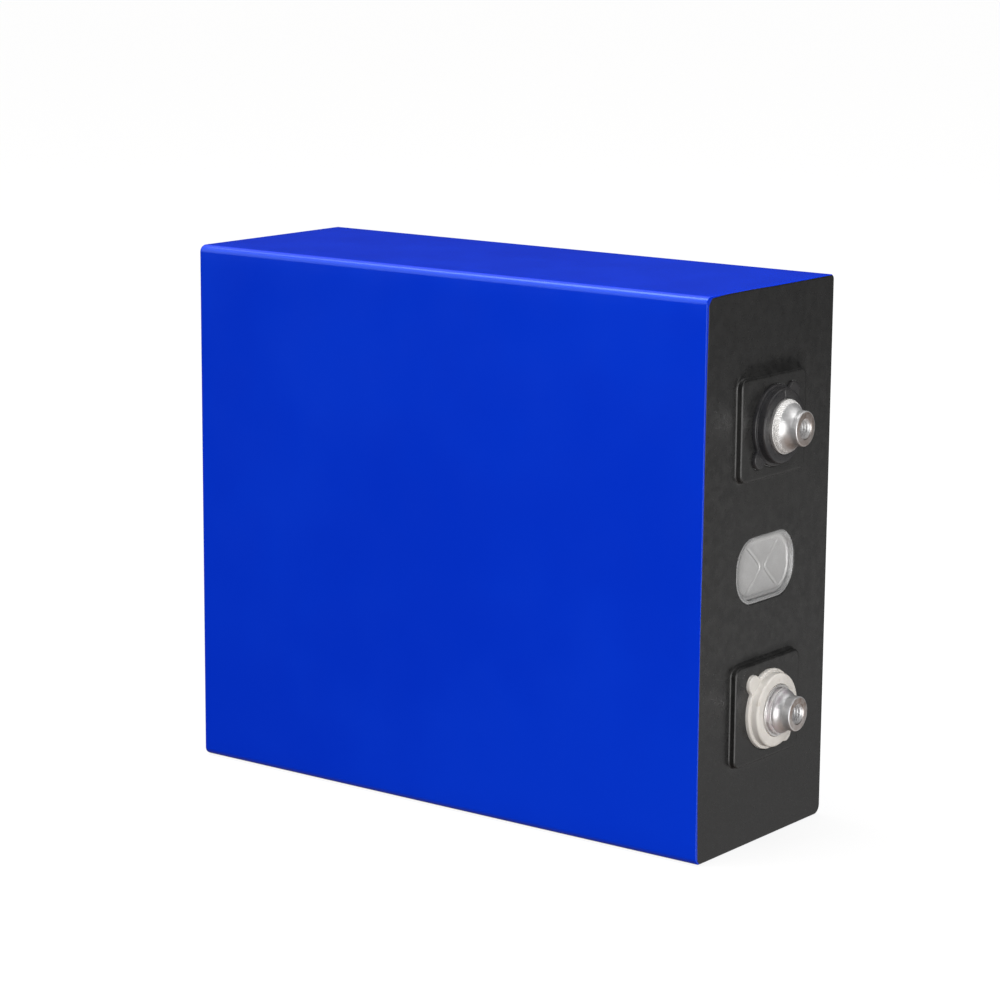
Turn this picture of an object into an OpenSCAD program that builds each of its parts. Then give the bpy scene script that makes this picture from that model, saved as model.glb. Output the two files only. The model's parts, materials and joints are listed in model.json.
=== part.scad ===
// Large-format prismatic lithium iron phosphate cell, lying on a narrow side.
// Millimetres. +X is the way the terminals face, +Y is through the thickness,
// +Z is up, along the long side of the terminal face.
// The origin is the centre of the narrow side that the cell rests on.
// Name endings: _t thickness, _r radius, _h height above the face, _x, _y and _z
// a place or size along that axis.

/* [Cell body] */
// Length from the base end to the terminal face, wrap included
cell_len = 200.5; // [195:0.5:210]
// Thickness between the two large faces, wrap included
cell_thk = 71.6; // [70:0.1:74]
// Width between the two narrow sides, wrap included
cell_wid = 174; // [170:0.5:180]
// Outer radius of the can's long edges and base edges, wrap included
edge_r = 2.5; // [2:0.1:3.5]
// Thickness of the wrap, of the face film and of the base patch
film_t = 0.25; // [0.15:0.05:0.3]
// Width of the wrap's turned edge on the terminal face
lip_w = 0.5; // [0.4:0.1:1.5]

/* [Can and lid] */
// Wall thickness of the drawn can
wall_t = 0.8; // [0.6:0.1:1]
// Thickness of the can's base
base_t = 1.5; // [1:0.1:2]
// Thickness of the lid plate
lid_t = 3; // [2.5:0.1:3.5]
// Length of a terminal boss along Y, film included
boss_y = 35.6; // [34:0.1:37]
// Length of a terminal boss along Z, film included
boss_z = 31.6; // [30:0.1:33]
// Height of a terminal boss above the face
boss_h = 2; // [1.5:0.1:2.5]
// Corner radius of a terminal boss
boss_r = 2.8; // [2:0.1:4]

/* [Terminals] */
// Distance between the two terminal axes
pitch = 89; // [87:0.5:91]
// Radius of the gasket's flange
flange_r = 12.6; // [12.2:0.1:13]
// Height of the flange's top above the face
flange_h = 3.1; // [2.8:0.1:3.4]
// Radius of the gasket's collar
collar_r = 11.6; // [11:0.1:12]
// Height of the collar's front above the face
collar_h = 5.7; // [5.4:0.1:6]
// Radius of a gasket ear
ear_r = 3; // [2.5:0.1:3.2]
// Offset of an ear from the terminal axis, along Y and along Z
ear_off = 9.4; // [9:0.1:9.8]
// Radius of the positive clamp ring
pos_ring_r = 8.5; // [8:0.1:9]
// Height of the positive clamp ring above the face
pos_ring_h = 6.5; // [6.2:0.1:6.8]
// Radius of the negative clamp ring
neg_ring_r = 8.2; // [8:0.1:9]
// Height of the negative clamp ring above the face
neg_ring_h = 6.1; // [6:0.1:6.5]
// Outer radius of a threaded post
post_r = 5.45; // [5:0.05:5.8]
// Height of a post's tip above the face
post_h = 13; // [12:0.1:14]
// Radius of the positive post's foot, welded all round to its ring
pos_foot_r = 8.1; // [7.6:0.1:8.3]
// Radius of the negative post's foot
neg_foot_r = 7.1; // [6.6:0.1:7.4]
// Wall radius of the M6 hole, at the thread's crests
thread_r = 2.5; // [2.4:0.05:2.6]
// Depth of the M6 hole below the post's tip
thread_depth = 7.2; // [6:0.1:7.2]
// Radius of the countersink at the hole's mouth
mouth_r = 3.35; // [3.1:0.05:3.6]
// Radius of the pole's stem
stem_r = 6; // [5.6:0.1:6.2]

/* [Vent and filling hole] */
// Length of the vent window along Y
vent_y = 33; // [31:0.5:34]
// Length of the vent window along Z
vent_z = 20.8; // [19:0.2:22]
// Depth of the rupture disc below the lid's outer face
vent_depth = 1.1; // [0.8:0.1:1.4]
// Thickness of the rupture disc
disc_t = 0.4; // [0.3:0.05:0.6]
// Distance of the filling hole below the middle of the face
fill_off = 19.6; // [18:0.2:21]

/* [Inside] */
// Thickness of the insulators under the lid
ins_t = 1.5; // [1.2:0.1:1.8]
// Thickness of a pole's inner flange
pole_flange_t = 2; // [1.5:0.1:2.5]
// Thickness of a current collector
coll_t = 1.5; // [1:0.1:2]
// Room between the collectors and the wound cores
tab_room = 5; // [4:0.5:8]
// Thickness of a folded foil tab bundle
tab_t = 1.6; // [1:0.1:2]
// Thickness of the bottom support
tray_t = 1.2; // [1:0.1:1.6]
// Wall of the inner insulating bag
bag_t = 0.15; // [0.1:0.01:0.2]

/* [Hidden] */

gap = 0.05;        // assembly gap
over = 1;          // how far a cut runs past the face it opens
lap = 0.5;         // overlap of shapes joined into one piece
core_room = 0.35;  // room between the bag and the cores

// Planes along X, from the terminal face inwards
face_x = cell_len / 2;              // outer plane of the film on the terminal face
lid_x = face_x - film_t;            // outer face of the lid plate
lid_in = lid_x - lid_t;             // inner face of the lid plate
ins_x = lid_in - ins_t;             // inner face of the lower insulators
pole_x = ins_x - pole_flange_t;     // inner face of the poles' flanges
coll_x = pole_x - coll_t;           // inner face of the collectors
core_end = coll_x - tab_room;       // end of the wound cores

// Planes along X, from the base end inwards
base_x = -cell_len / 2;             // outer plane of the wrap on the base end
can_x = base_x + 2 * film_t;        // outer face of the can's base
base_in = can_x + base_t;           // inner face of the can's base
bag_x = base_in + tray_t + 0.1;     // outer face of the bag's closed end
core_x = bag_x + bag_t + core_room; // start of the wound cores

// Heights of the axes on the terminal face
mid_z = cell_wid / 2;
pos_z = mid_z + pitch / 2;
neg_z = mid_z - pitch / 2;
fill_z = mid_z - fill_off;

// Outside and inside of the can
can_y = cell_thk - 2 * film_t;
can_z = cell_wid - 2 * film_t;
can_r = edge_r - film_t;
in_y = can_y - 2 * wall_t;
in_z = can_z - 2 * wall_t;
in_r = can_r - wall_t;

// Wound cores
core_y = in_y / 2 - gap - bag_t - core_room;  // outer face of a wound core
core_gap = 0.3;                     // half of the gap between the two cores
core_thk = core_y - core_gap;
core_mid = (core_y + core_gap) / 2; // distance of a core's middle plane from Y = 0
core_z = in_z / 2 - 0.8;            // half width of a wound core

// Colours used by more than one node
lid_metal = [0.8, 0.81, 0.82];
aluminium = [0.8, 0.8, 0.8];
copper = [0.75, 0.43, 0.28];
rubber = [0.12, 0.12, 0.12];
white_plastic = [0.9, 0.9, 0.88];
core_grey = [0.3, 0.31, 0.33];

// ---- helpers ----
// A plane shape drawn in (Y, Z), from one X to another
module slab(from, to) {
  translate([from, 0, 0]) rotate([90, 0, 90]) linear_extrude(height = to - from) children();
}

// A round bar along X
module bar(from, to, radius, facets = 96) {
  translate([from, 0, 0]) rotate([0, 90, 0]) cylinder(h = to - from, r = radius, $fn = facets);
}

// A body turned about the X axis from a profile of [radius, x] points
module turned(points, facets = 96) {
  rotate([0, 90, 0]) rotate_extrude($fn = facets) polygon(points);
}

// A rectangle with round corners
module round_rect(width, height, radius) {
  square([width - 2 * radius, height], center = true);
  square([width, height - 2 * radius], center = true);
  for (sy = [-1, 1], sz = [-1, 1])
    translate([sy * (width / 2 - radius), sz * (height / 2 - radius)])
      circle(r = radius, $fn = 48);
}

// A drawn box: long edges and the edges of the low-X end are rounded
module drawn_box(from, to, width, height, radius) {
  round_x = from + radius;
  round_y = width / 2 - radius;
  round_z = height / 2 - radius;
  union() {
    slab(round_x, to) round_rect(width, height, radius);
    slab(from, round_x + lap) square([2 * round_y, 2 * round_z], center = true);
    for (s = [-1, 1]) {
      translate([round_x, 0, s * round_z]) rotate([90, 0, 0])
        cylinder(h = 2 * round_y, r = radius, center = true, $fn = 48);
      translate([round_x, s * round_y, 0])
        cylinder(h = 2 * round_z, r = radius, center = true, $fn = 48);
      for (t = [-1, 1])
        translate([round_x, s * round_y, t * round_z]) sphere(r = radius, $fn = 48);
    }
  }
}

// The outline of a terminal boss, smaller by inset all round
module boss_shape(inset = 0) {
  round_rect(boss_y - 2 * inset, boss_z - 2 * inset, boss_r - inset);
}

// The vent's outline, smaller by inset all round
module vent_shape(inset = 0) {
  height = vent_z - 2 * inset;
  round_rect(vent_y - 2 * inset, height, height * 0.44);
}

// A gasket's flange with its two ears.
// side = 1 puts the ears at (+Y, +Z) and (-Y, -Z), side = -1 at the other two corners.
module gasket_outline(side, grow = 0) {
  circle(r = flange_r + grow, $fn = 96);
  for (s = [-1, 1])
    translate([s * ear_off, side * s * ear_off]) circle(r = ear_r + grow, $fn = 48);
}

// ---- casing ----
sleeve_r = stem_r + 1;    // gasket's sleeve through the lid
seat_inset = 1;           // rupture disc's seat, inside the vent's outline
vent_hole_inset = 2.6;    // hole under the disc, inside the vent's outline
disc_x = lid_x - vent_depth - disc_t;  // inner face of the rupture disc
fill_r = 1.6;             // filling hole
cap_r = 4;                // cap over the filling hole
cap_depth = 1;            // seat of that cap, below the lid's outer face

module can() {
  color([0.78, 0.79, 0.8])
  translate([0, 0, mid_z])
  difference() {
    drawn_box(can_x, lid_x, can_y, can_z, can_r);
    slab(base_in, lid_x + over) round_rect(in_y, in_z, in_r);
  }
}

module lid_plate() {
  color(lid_metal)
  translate([0, 0, mid_z])
  difference() {
    union() {
      slab(lid_in, lid_x) round_rect(in_y - 2 * gap, in_z - 2 * gap, in_r - gap);
      for (s = [-1, 1])
        translate([0, 0, s * pitch / 2])
          slab(lid_x - lap, lid_x + boss_h) boss_shape(film_t + gap);
    }
    for (s = [-1, 1])
      translate([0, 0, s * pitch / 2])
        bar(lid_in - over, lid_x + boss_h + over, sleeve_r + gap);
    // stepped seat of the rupture disc, with the vent hole under it
    slab(disc_x, lid_x + over) vent_shape(seat_inset);
    slab(lid_in - over, lid_x + over) vent_shape(vent_hole_inset);
    // filling hole and the seat of its cap
    translate([0, 0, -fill_off]) {
      bar(lid_in - over, lid_x + over, fill_r, 48);
      bar(lid_x - cap_depth, lid_x + over, cap_r + gap, 64);
    }
  }
}

// One piece of film round the sides, folded over the base end and turned in
// round the terminal face
module blue_wrap() {
  wrap_gap = 0.02;
  color([0.02, 0.18, 0.74])
  translate([0, 0, mid_z])
  difference() {
    drawn_box(base_x, face_x, cell_thk, cell_wid, edge_r);
    drawn_box(base_x + film_t, lid_x, can_y + 2 * wrap_gap, can_z + 2 * wrap_gap,
              can_r + wrap_gap);
    slab(lid_x - over, face_x + over)
      round_rect(cell_thk - 2 * lip_w, cell_wid - 2 * lip_w, edge_r);
  }
}

// Flat patch between the wrap and the can's base
module base_patch() {
  patch_gap = 0.01;
  border = can_r + 0.5;
  color([0.93, 0.93, 0.9])
  translate([0, 0, mid_z])
    slab(base_x + film_t + patch_gap, can_x - patch_gap)
      round_rect(can_y - 2 * border, can_z - 2 * border, 3);
}

// Black film over the lid, standing up over the two bosses
module terminal_face_film() {
  border = lip_w + gap;
  gasket_gap = 0.12;
  color([0.2, 0.2, 0.2])
  translate([0, 0, mid_z])
  difference() {
    union() {
      slab(lid_x, face_x)
        round_rect(cell_thk - 2 * border, cell_wid - 2 * border, edge_r);
      for (s = [-1, 1])
        translate([0, 0, s * pitch / 2])
          slab(lid_x, face_x + boss_h) boss_shape();
    }
    for (s = [-1, 1])
      translate([0, 0, s * pitch / 2]) {
        slab(lid_x - over, lid_x + boss_h) boss_shape(film_t);
        slab(lid_x, face_x + boss_h + over) gasket_outline(s, gasket_gap);
      }
    slab(lid_x - over, face_x + over) vent_shape();
  }
}

// ---- vent and filling hole ----
// The score on the rupture disc: two branches of a hyperbola
score_waist = 1.9;    // distance of a branch from Z = 0's centre, along Y
score_spread = 1.42;  // factor on z squared
score_reach = 6.5;    // half length along Z
score_w = 0.6;        // width along Y
score_depth = 0.2;
score_steps = 24;

// One edge of the branch on the given side, moved outwards by shift
function score_edge(side, shift, steps) =
  [for (i = steps) let (z = -score_reach + 2 * score_reach * i / score_steps)
    [side * (sqrt(score_waist * score_waist + score_spread * z * z) + shift), z]];

function score_points(side) = concat(
  score_edge(side, -score_w / 2, [0:score_steps]),
  score_edge(side, score_w / 2, [score_steps:-1:0]));

module vent_disc() {
  color(aluminium)
  translate([0, 0, mid_z])
  difference() {
    slab(disc_x, lid_x - vent_depth) vent_shape(seat_inset + gap);
    for (side = [-1, 1])
      slab(lid_x - vent_depth - score_depth, lid_x) polygon(score_points(side));
  }
}

module vent_film() {
  color([0.85, 0.86, 0.88])
  translate([0, 0, mid_z])
    slab(lid_x, face_x - gap) vent_shape(gap);
}

// Plug in the filling hole, with a round inner end
module fill_plug() {
  plug_r = fill_r - 0.02;
  plug_x = lid_in + 0.2;
  color([0.25, 0.25, 0.27])
  translate([0, 0, fill_z])
    union() {
      bar(plug_x, lid_x - 1.3, plug_r, 48);
      translate([plug_x, 0, 0]) sphere(r = plug_r, $fn = 48);
    }
}

// Cap over the plug, with a small nub on its inner face
module fill_cap() {
  cap_sink = 0.02;
  nub_r = 1.2;
  nub_h = 0.2;
  nub_lap = 0.1;
  color(lid_metal)
  translate([0, 0, fill_z])
    union() {
      bar(lid_x - cap_depth, lid_x - cap_sink, cap_r, 64);
      bar(lid_x - cap_depth - nub_h, lid_x - cap_depth + nub_lap, nub_r, 48);
    }
}

// ---- terminals ----
pole_flange_r = 10;
weld_x = lid_in + 1;     // joint between the negative pole's two metals
spigot_r = 3.95;         // spigot under a post
spigot_len = 3.5;
socket_depth = spigot_len + 0.1;
seal_r = 9;              // outer radius of a seal ring

// A moulded insulator: flange with two ears, collar, and a sleeve through the lid
module gasket(side, pocket_r) {
  difference() {
    union() {
      slab(lid_x + boss_h, face_x + flange_h) gasket_outline(side);
      bar(face_x + flange_h - lap, face_x + collar_h, collar_r);
      bar(lid_in, lid_x + boss_h + lap, sleeve_r);
    }
    bar(face_x + flange_h, face_x + collar_h + over, pocket_r + gap);
    bar(lid_in - over, face_x + collar_h + over, stem_r + gap);
  }
}

module pos_gasket() {
  color([0.16, 0.16, 0.17]) translate([0, 0, pos_z]) gasket(1, pos_ring_r);
}
module neg_gasket() {
  color([0.83, 0.81, 0.77]) translate([0, 0, neg_z]) gasket(-1, neg_ring_r);
}

// Ring pressed over the pole's stem, in the gasket's pocket
module clamp_ring(radius, height) {
  seat_x = face_x + flange_h;
  top_x = face_x + height;
  chamfer = 0.4;
  bore_gap = 0.02;
  difference() {
    turned([[stem_r, seat_x], [radius, seat_x], [radius, top_x - chamfer],
            [radius - chamfer, top_x], [stem_r, top_x]]);
    bar(face_x, top_x + over, stem_r + bore_gap);
  }
}

module pos_clamp_ring() {
  color([0.78, 0.78, 0.78]) translate([0, 0, pos_z]) clamp_ring(pos_ring_r, pos_ring_h);
}
module neg_clamp_ring() {
  color([0.76, 0.76, 0.76]) translate([0, 0, neg_z]) clamp_ring(neg_ring_r, neg_ring_h);
}

// Stem of a pole, with a socket for the post's spigot
module pole_stem(from, height) {
  top_x = face_x + height;
  difference() {
    bar(from, top_x, stem_r);
    bar(top_x - socket_depth, top_x + over, spigot_r + gap);
  }
}

module pos_pole() {
  color(aluminium)
  translate([0, 0, pos_z])
    union() {
      pole_stem(pole_x + lap, pos_ring_h);
      bar(pole_x, ins_x, pole_flange_r);
    }
}

module neg_pole() {
  color(aluminium) translate([0, 0, neg_z]) pole_stem(weld_x, neg_ring_h);
}

// Copper half of the negative pole, friction welded to the aluminium stem
module neg_pole_core() {
  color(copper)
  translate([0, 0, neg_z])
    union() {
      bar(pole_x, ins_x, pole_flange_r);
      bar(pole_x + lap, weld_x, stem_r);
    }
}

// Threaded post: a foot on the pole, a spigot in the pole's socket, an M6 hole.
// The foot narrows from foot_r by taper, and then sweeps in to the post over flare.
module post(seat_h, foot_r, taper, flare) {
  seat_x = face_x + seat_h;
  tip_x = face_x + post_h;
  foot_x = seat_x + 1.5;        // where the foot ends and the sweep starts
  top_r = foot_r - taper;
  foot_chamfer = 0.1;
  tip_chamfer = 0.4;
  sink = mouth_r - thread_r;    // depth of the 45 degree countersink
  sink_over = 0.5;              // how far its cone runs past the tip
  difference() {
    turned([[0, seat_x - spigot_len], [spigot_r, seat_x - spigot_len], [spigot_r, seat_x],
            [foot_r - foot_chamfer, seat_x], [foot_r, seat_x + foot_chamfer],
            [top_r, foot_x], [post_r + 0.3 * (top_r - post_r), foot_x + 0.5 * flare],
            [post_r, foot_x + flare],
            [post_r, tip_x - tip_chamfer], [post_r - tip_chamfer, tip_x], [0, tip_x]]);
    bar(tip_x - thread_depth, tip_x + over, thread_r);
    turned([[0, tip_x - sink], [thread_r, tip_x - sink],
            [mouth_r + sink_over, tip_x + sink_over], [0, tip_x + sink_over]]);
  }
}

module pos_post() {
  color([0.8, 0.8, 0.79]) translate([0, 0, pos_z])
    post(pos_ring_h, pos_foot_r, taper = 0.8, flare = 3.2);
}
module neg_post() {
  color([0.78, 0.77, 0.78]) translate([0, 0, neg_z])
    post(neg_ring_h, neg_foot_r, taper = 0.15, flare = 2.7);
}

// Rubber ring round the stem, squeezed between the lid and the pole's flange
module seal_ring() {
  chamfer = 0.3;
  difference() {
    turned([[stem_r, ins_x], [seal_r - chamfer, ins_x], [seal_r, ins_x + chamfer],
            [seal_r, lid_in - chamfer], [seal_r - chamfer, lid_in], [stem_r, lid_in]], 72);
    bar(ins_x - over, lid_in + over, stem_r + gap, 72);
  }
}

module pos_seal_ring() { color(rubber) translate([0, 0, pos_z]) seal_ring(); }
module neg_seal_ring() { color(rubber) translate([0, 0, neg_z]) seal_ring(); }

// ---- under the lid ----
ins_margin = 3;          // from an insulator's end to the cell's narrow side
seal_hole_r = seal_r + 0.1;
coll_y = 54;
coll_z = 40;
tab_z = 38;              // width of a tab bundle along Z
tab_in = 5;              // inner end of a folded bundle, from Y = 0

// An insulating plate between two heights
module insulator_plate(low_z, high_z) {
  translate([0, 0, (low_z + high_z) / 2])
    slab(ins_x, lid_in) round_rect(in_y - 2, high_z - low_z, 2);
}

module insulator_hole(z, radius, facets) {
  translate([0, 0, z]) bar(ins_x - over, lid_in + over, radius, facets);
}

module pos_lower_insulator() {
  color(white_plastic)
  difference() {
    insulator_plate(mid_z + 14, cell_wid - ins_margin);
    insulator_hole(pos_z, seal_hole_r, 72);
  }
}

module neg_lower_insulator() {
  slot_pitch = 3.6;
  slot = [1.8, 14];
  color(white_plastic)
  difference() {
    insulator_plate(ins_margin, mid_z + 13);
    insulator_hole(neg_z, seal_hole_r, 72);
    insulator_hole(fill_z, 3, 48);
    // slots that let gas through to the vent
    for (i = [-3:3])
      translate([0, i * slot_pitch, mid_z])
        slab(ins_x - over, lid_in + over) square(slot, center = true);
  }
}

module collector() {
  slab(coll_x, pole_x) round_rect(coll_y, coll_z, 3);
}

module pos_collector() { color(aluminium) translate([0, 0, pos_z]) collector(); }
module neg_collector() { color(copper) translate([0, 0, neg_z]) collector(); }

// Two foil bundles, one from each core, folded under the collector
module tabs() {
  tab_out = core_mid + tab_t / 2;
  for (s = [-1, 1])
    union() {
      translate([core_end, s * core_mid - tab_t / 2, -tab_z / 2])
        cube([tab_room, tab_t, tab_z]);
      translate([coll_x - tab_t, s > 0 ? tab_in : -tab_out, -tab_z / 2])
        cube([tab_t, tab_out - tab_in, tab_z]);
    }
}

module pos_tabs() { color([0.83, 0.83, 0.84]) translate([0, 0, pos_z]) tabs(); }
module neg_tabs() { color([0.77, 0.45, 0.3]) translate([0, 0, neg_z]) tabs(); }

// ---- wound cores ----
// A flat wound core. Its two narrow sides are half round, and the slot in the
// middle is where the winding mandrel came out.
module core() {
  end_r = core_thk / 2;
  flat_z = 2 * core_z - core_thk;
  slot_y = 1;
  difference() {
    slab(core_x, core_end) union() {
      square([core_thk, flat_z], center = true);
      for (s = [-1, 1]) translate([0, s * (core_z - end_r)]) circle(r = end_r, $fn = 96);
    }
    slab(core_x - over, core_end + over) square([slot_y, flat_z], center = true);
  }
}

module core_front() { color(core_grey) translate([0, -core_mid, mid_z]) core(); }
module core_back() { color(core_grey) translate([0, core_mid, mid_z]) core(); }

// Closing tapes on the outer faces of the cores
module core_tapes() {
  tape = [24, 0.18, 90];
  tape_gap = 0.02;
  color([0.2, 0.6, 0.35])
  for (s = [-1, 1], x = [-60, 0, 60])
    translate([x - tape.x / 2,
               s > 0 ? core_y + tape_gap : -core_y - tape_gap - tape.y,
               mid_z - tape.z / 2])
      cube(tape);
}

// Bag round the cores, open towards the lid
module inner_bag() {
  bag_y = in_y - 2 * gap;
  bag_z = in_z - 2 * gap;
  bag_end = core_end + 1;
  color([0.85, 0.87, 0.9])
  translate([0, 0, mid_z])
  difference() {
    slab(bag_x, bag_end) round_rect(bag_y, bag_z, in_r);
    slab(bag_x + bag_t, bag_end + over)
      round_rect(bag_y - 2 * bag_t, bag_z - 2 * bag_t, in_r - bag_t);
  }
}

// Plate with six holes, on the can's base
module bottom_support() {
  play = 1.5;
  hole_y = 16;
  hole_pitch_z = 45;
  hole_r = 4;
  color(white_plastic)
  translate([0, 0, mid_z])
  difference() {
    slab(base_in + 0.02, base_in + tray_t) round_rect(in_y - play, in_z - play, 3);
    for (s = [-1, 1], t = [-1:1])
      translate([0, s * hole_y, t * hole_pitch_z])
        bar(base_in - over, base_in + tray_t + over, hole_r, 48);
  }
}

can();
lid_plate();
blue_wrap();
base_patch();
terminal_face_film();
vent_disc();
vent_film();
fill_plug();
fill_cap();
pos_gasket();
neg_gasket();
pos_clamp_ring();
neg_clamp_ring();
pos_pole();
neg_pole();
neg_pole_core();
pos_post();
neg_post();
pos_seal_ring();
neg_seal_ring();
pos_lower_insulator();
neg_lower_insulator();
pos_collector();
neg_collector();
pos_tabs();
neg_tabs();
core_front();
core_back();
core_tapes();
inner_bag();
bottom_support();
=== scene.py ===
# A prismatic battery cell in a blue wrap, lying on one of its narrow sides.
# The terminal face looks along +X and the base end along -X. Y is the thickness, with
# the front at -Y. Z is the width, pointing up. The terminals are turned about lines along X.
import json
import math

import bmesh
import bpy
import numpy as np
from mathutils import Matrix, Vector
from mathutils.geometry import delaunay_2d_cdt


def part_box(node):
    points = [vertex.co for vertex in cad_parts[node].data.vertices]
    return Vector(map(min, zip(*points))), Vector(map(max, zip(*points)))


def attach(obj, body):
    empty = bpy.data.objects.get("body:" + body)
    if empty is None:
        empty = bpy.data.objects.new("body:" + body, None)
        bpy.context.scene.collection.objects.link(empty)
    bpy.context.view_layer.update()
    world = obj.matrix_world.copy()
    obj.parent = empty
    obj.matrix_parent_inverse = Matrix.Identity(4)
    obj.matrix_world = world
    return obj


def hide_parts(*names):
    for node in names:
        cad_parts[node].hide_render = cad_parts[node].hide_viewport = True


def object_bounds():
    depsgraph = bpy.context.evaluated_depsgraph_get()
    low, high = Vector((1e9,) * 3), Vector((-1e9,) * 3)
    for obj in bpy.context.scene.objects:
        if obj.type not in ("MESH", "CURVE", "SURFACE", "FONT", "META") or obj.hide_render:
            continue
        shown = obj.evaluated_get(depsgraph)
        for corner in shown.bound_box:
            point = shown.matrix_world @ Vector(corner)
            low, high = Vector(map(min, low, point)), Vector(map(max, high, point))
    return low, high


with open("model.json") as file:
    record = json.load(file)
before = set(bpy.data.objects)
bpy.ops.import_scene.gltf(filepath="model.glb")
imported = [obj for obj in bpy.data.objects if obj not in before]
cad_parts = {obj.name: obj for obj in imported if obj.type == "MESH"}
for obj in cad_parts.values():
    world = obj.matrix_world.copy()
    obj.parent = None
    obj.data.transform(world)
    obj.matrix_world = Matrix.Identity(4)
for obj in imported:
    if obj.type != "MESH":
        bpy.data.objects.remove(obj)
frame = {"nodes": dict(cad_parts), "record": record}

# ------------------------------------------------------------------ dimensions
# Shapes are in millimetres and become metres in make(). Shaders and stage are in metres.

MM = 0.001
CAD_LO, CAD_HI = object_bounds()
rng = np.random.default_rng(7)


def box_mm(node):
    """Low and high corner of a CAD node, in millimetres."""
    return [(np.array(corner) / MM).tolist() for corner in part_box(node)]


def centre_z(node):
    lo, hi = box_mm(node)
    return (lo[2] + hi[2]) / 2


WRAP_LO, WRAP_HI = box_mm("blue_wrap")
FACE, BASE = WRAP_HI[0], WRAP_LO[0]         # planes of the terminal face and the base end
HALF_Y = (WRAP_HI[1] - WRAP_LO[1]) / 2
HALF_Z = (WRAP_HI[2] - WRAP_LO[2]) / 2
MID_Z = (WRAP_HI[2] + WRAP_LO[2]) / 2
LID_OUT = box_mm("vent_film")[0][0]         # outer face of the lid plate
LID_IN = box_mm("lid_plate")[0][0]
POS_Z, NEG_Z = centre_z("pos_post"), centre_z("neg_post")
TIP = box_mm("pos_post")[1][0]

# Radii of the long edges, in the order front top, back top, back bottom, front bottom
EDGE_RADII = (2.4, 1.4, 2.9, 2.2)
FACE_RADII = (3.2, 1.3, 2.8, 1.9)           # corners of the face film, in the same order
FILM_T = 0.11                               # thickness of the face film

# The bosses that the face film covers under the gaskets
BOSS_Y, BOSS_Z = 18.12, 15.8                # half sizes
BOSS_H, BOSS_R = 2.0, 2.8                   # height, corner radius
BOSS_SHIFT = -0.33                          # towards the front

# Gasket: a round flange with two opposite ears, and a collar round the clamp ring
FLANGE_R, FLANGE_H = 12.6, 3.1
EAR, EAR_R = 9.4, 3.0                       # ear centre along Y and along Z, ear radius
POS_EARS, NEG_EARS = 45, -45                # direction of the first ear, degrees
COLLAR_R, COLLAR_FOOT_R = 11.6, 11.98

BORE_R = 6.05                               # bore of the gaskets
RING_BORE_R = 6.02                          # bore of the clamp rings
PIN_R = 5.45                                # outer radius of the threaded posts
SPIGOT_R, SPIGOT_LENGTH = 3.95, 3.5         # the posts' inner ends

VENT_Y, VENT_Z = 16.5, 10.4                 # half sizes of the vent's opening

# ------------------------------------------------------------------ mesh tools


def make(name, verts, faces, smooth_angle=38):
    """A closed mesh object from millimetre vertices."""
    me = bpy.data.meshes.new(name)
    points = [tuple(v) for v in (np.asarray(verts, float) * MM)]
    me.from_pydata(points, [], [tuple(int(i) for i in face) for face in faces])
    bm = bmesh.new()
    bm.from_mesh(me)
    bmesh.ops.remove_doubles(bm, verts=bm.verts, dist=1e-7)
    bmesh.ops.dissolve_degenerate(bm, edges=bm.edges, dist=1e-8)
    bmesh.ops.recalc_face_normals(bm, faces=bm.faces)
    bm.to_mesh(me)
    bm.free()
    me.shade_smooth()
    me.set_sharp_from_angle(angle=math.radians(smooth_angle))
    ob = bpy.data.objects.new(name, me)
    bpy.context.scene.collection.objects.link(ob)
    return ob


def finish_piece(ob, material, node):
    ob.data.materials.append(MATERIALS[material])
    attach(ob, "root")
    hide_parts(node)


def join(parts):
    """One vertex array and face list from several (vertices, faces) pairs."""
    verts, faces, start = [], [], 0
    for part_verts, part_faces in parts:
        verts.append(part_verts)
        faces += [tuple(start + i for i in face) for face in part_faces]
        start += len(part_verts)
    return np.concatenate(verts), faces


def ring_faces(rows, count):
    """Quads between successive closed rings of count vertices."""
    out = []
    for i in range(rows - 1):
        for j in range(count):
            a, b = i * count + j, i * count + (j + 1) % count
            out.append((a, b, b + count, a + count))
    return out


def smoothstep(start, end, x):
    t = np.clip((np.asarray(x, float) - start) / (end - start), 0, 1)
    return t * t * (3 - 2 * t)


def quarter(steps):
    """Angles from 0 to 90 degrees, in radians."""
    return [math.radians(90 * k / steps) for k in range(steps + 1)]


def full_turn(count):
    return np.arange(count) * 2 * math.pi / count


def grid(ys, zs):
    """The points (y, z) of a rectangular grid."""
    gy, gz = np.meshgrid(ys, zs)
    return np.column_stack([gy.ravel(), gz.ravel()])


def rounded(corners, segments):
    """A polyline of (u, v, radius) corners with an arc at each corner that has a radius."""
    out = []
    for i, (u, v, radius) in enumerate(corners):
        if radius == 0:
            out.append((u, v))
            continue
        corner = np.array([u, v])
        back = np.array(corners[i - 1][:2]) - corner
        ahead = np.array(corners[i + 1][:2]) - corner
        back_len, ahead_len = np.linalg.norm(back), np.linalg.norm(ahead)
        back, ahead = back / back_len, ahead / ahead_len
        half = math.acos(float(back @ ahead)) / 2
        # an arc takes less than half of either side
        reach = min(radius / math.tan(half), back_len * 0.49, ahead_len * 0.49)
        radius = reach * math.tan(half)
        middle = (back + ahead) / np.linalg.norm(back + ahead)
        centre = corner + middle * radius / math.sin(half)
        start = math.atan2(*(corner + back * reach - centre)[::-1])
        end = math.atan2(*(corner + ahead * reach - centre)[::-1])
        sweep = (end - start + math.pi) % (2 * math.pi) - math.pi
        for k in range(segments + 1):
            angle = start + sweep * k / segments
            out.append((centre[0] + radius * math.cos(angle),
                        centre[1] + radius * math.sin(angle)))
    return out


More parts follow.
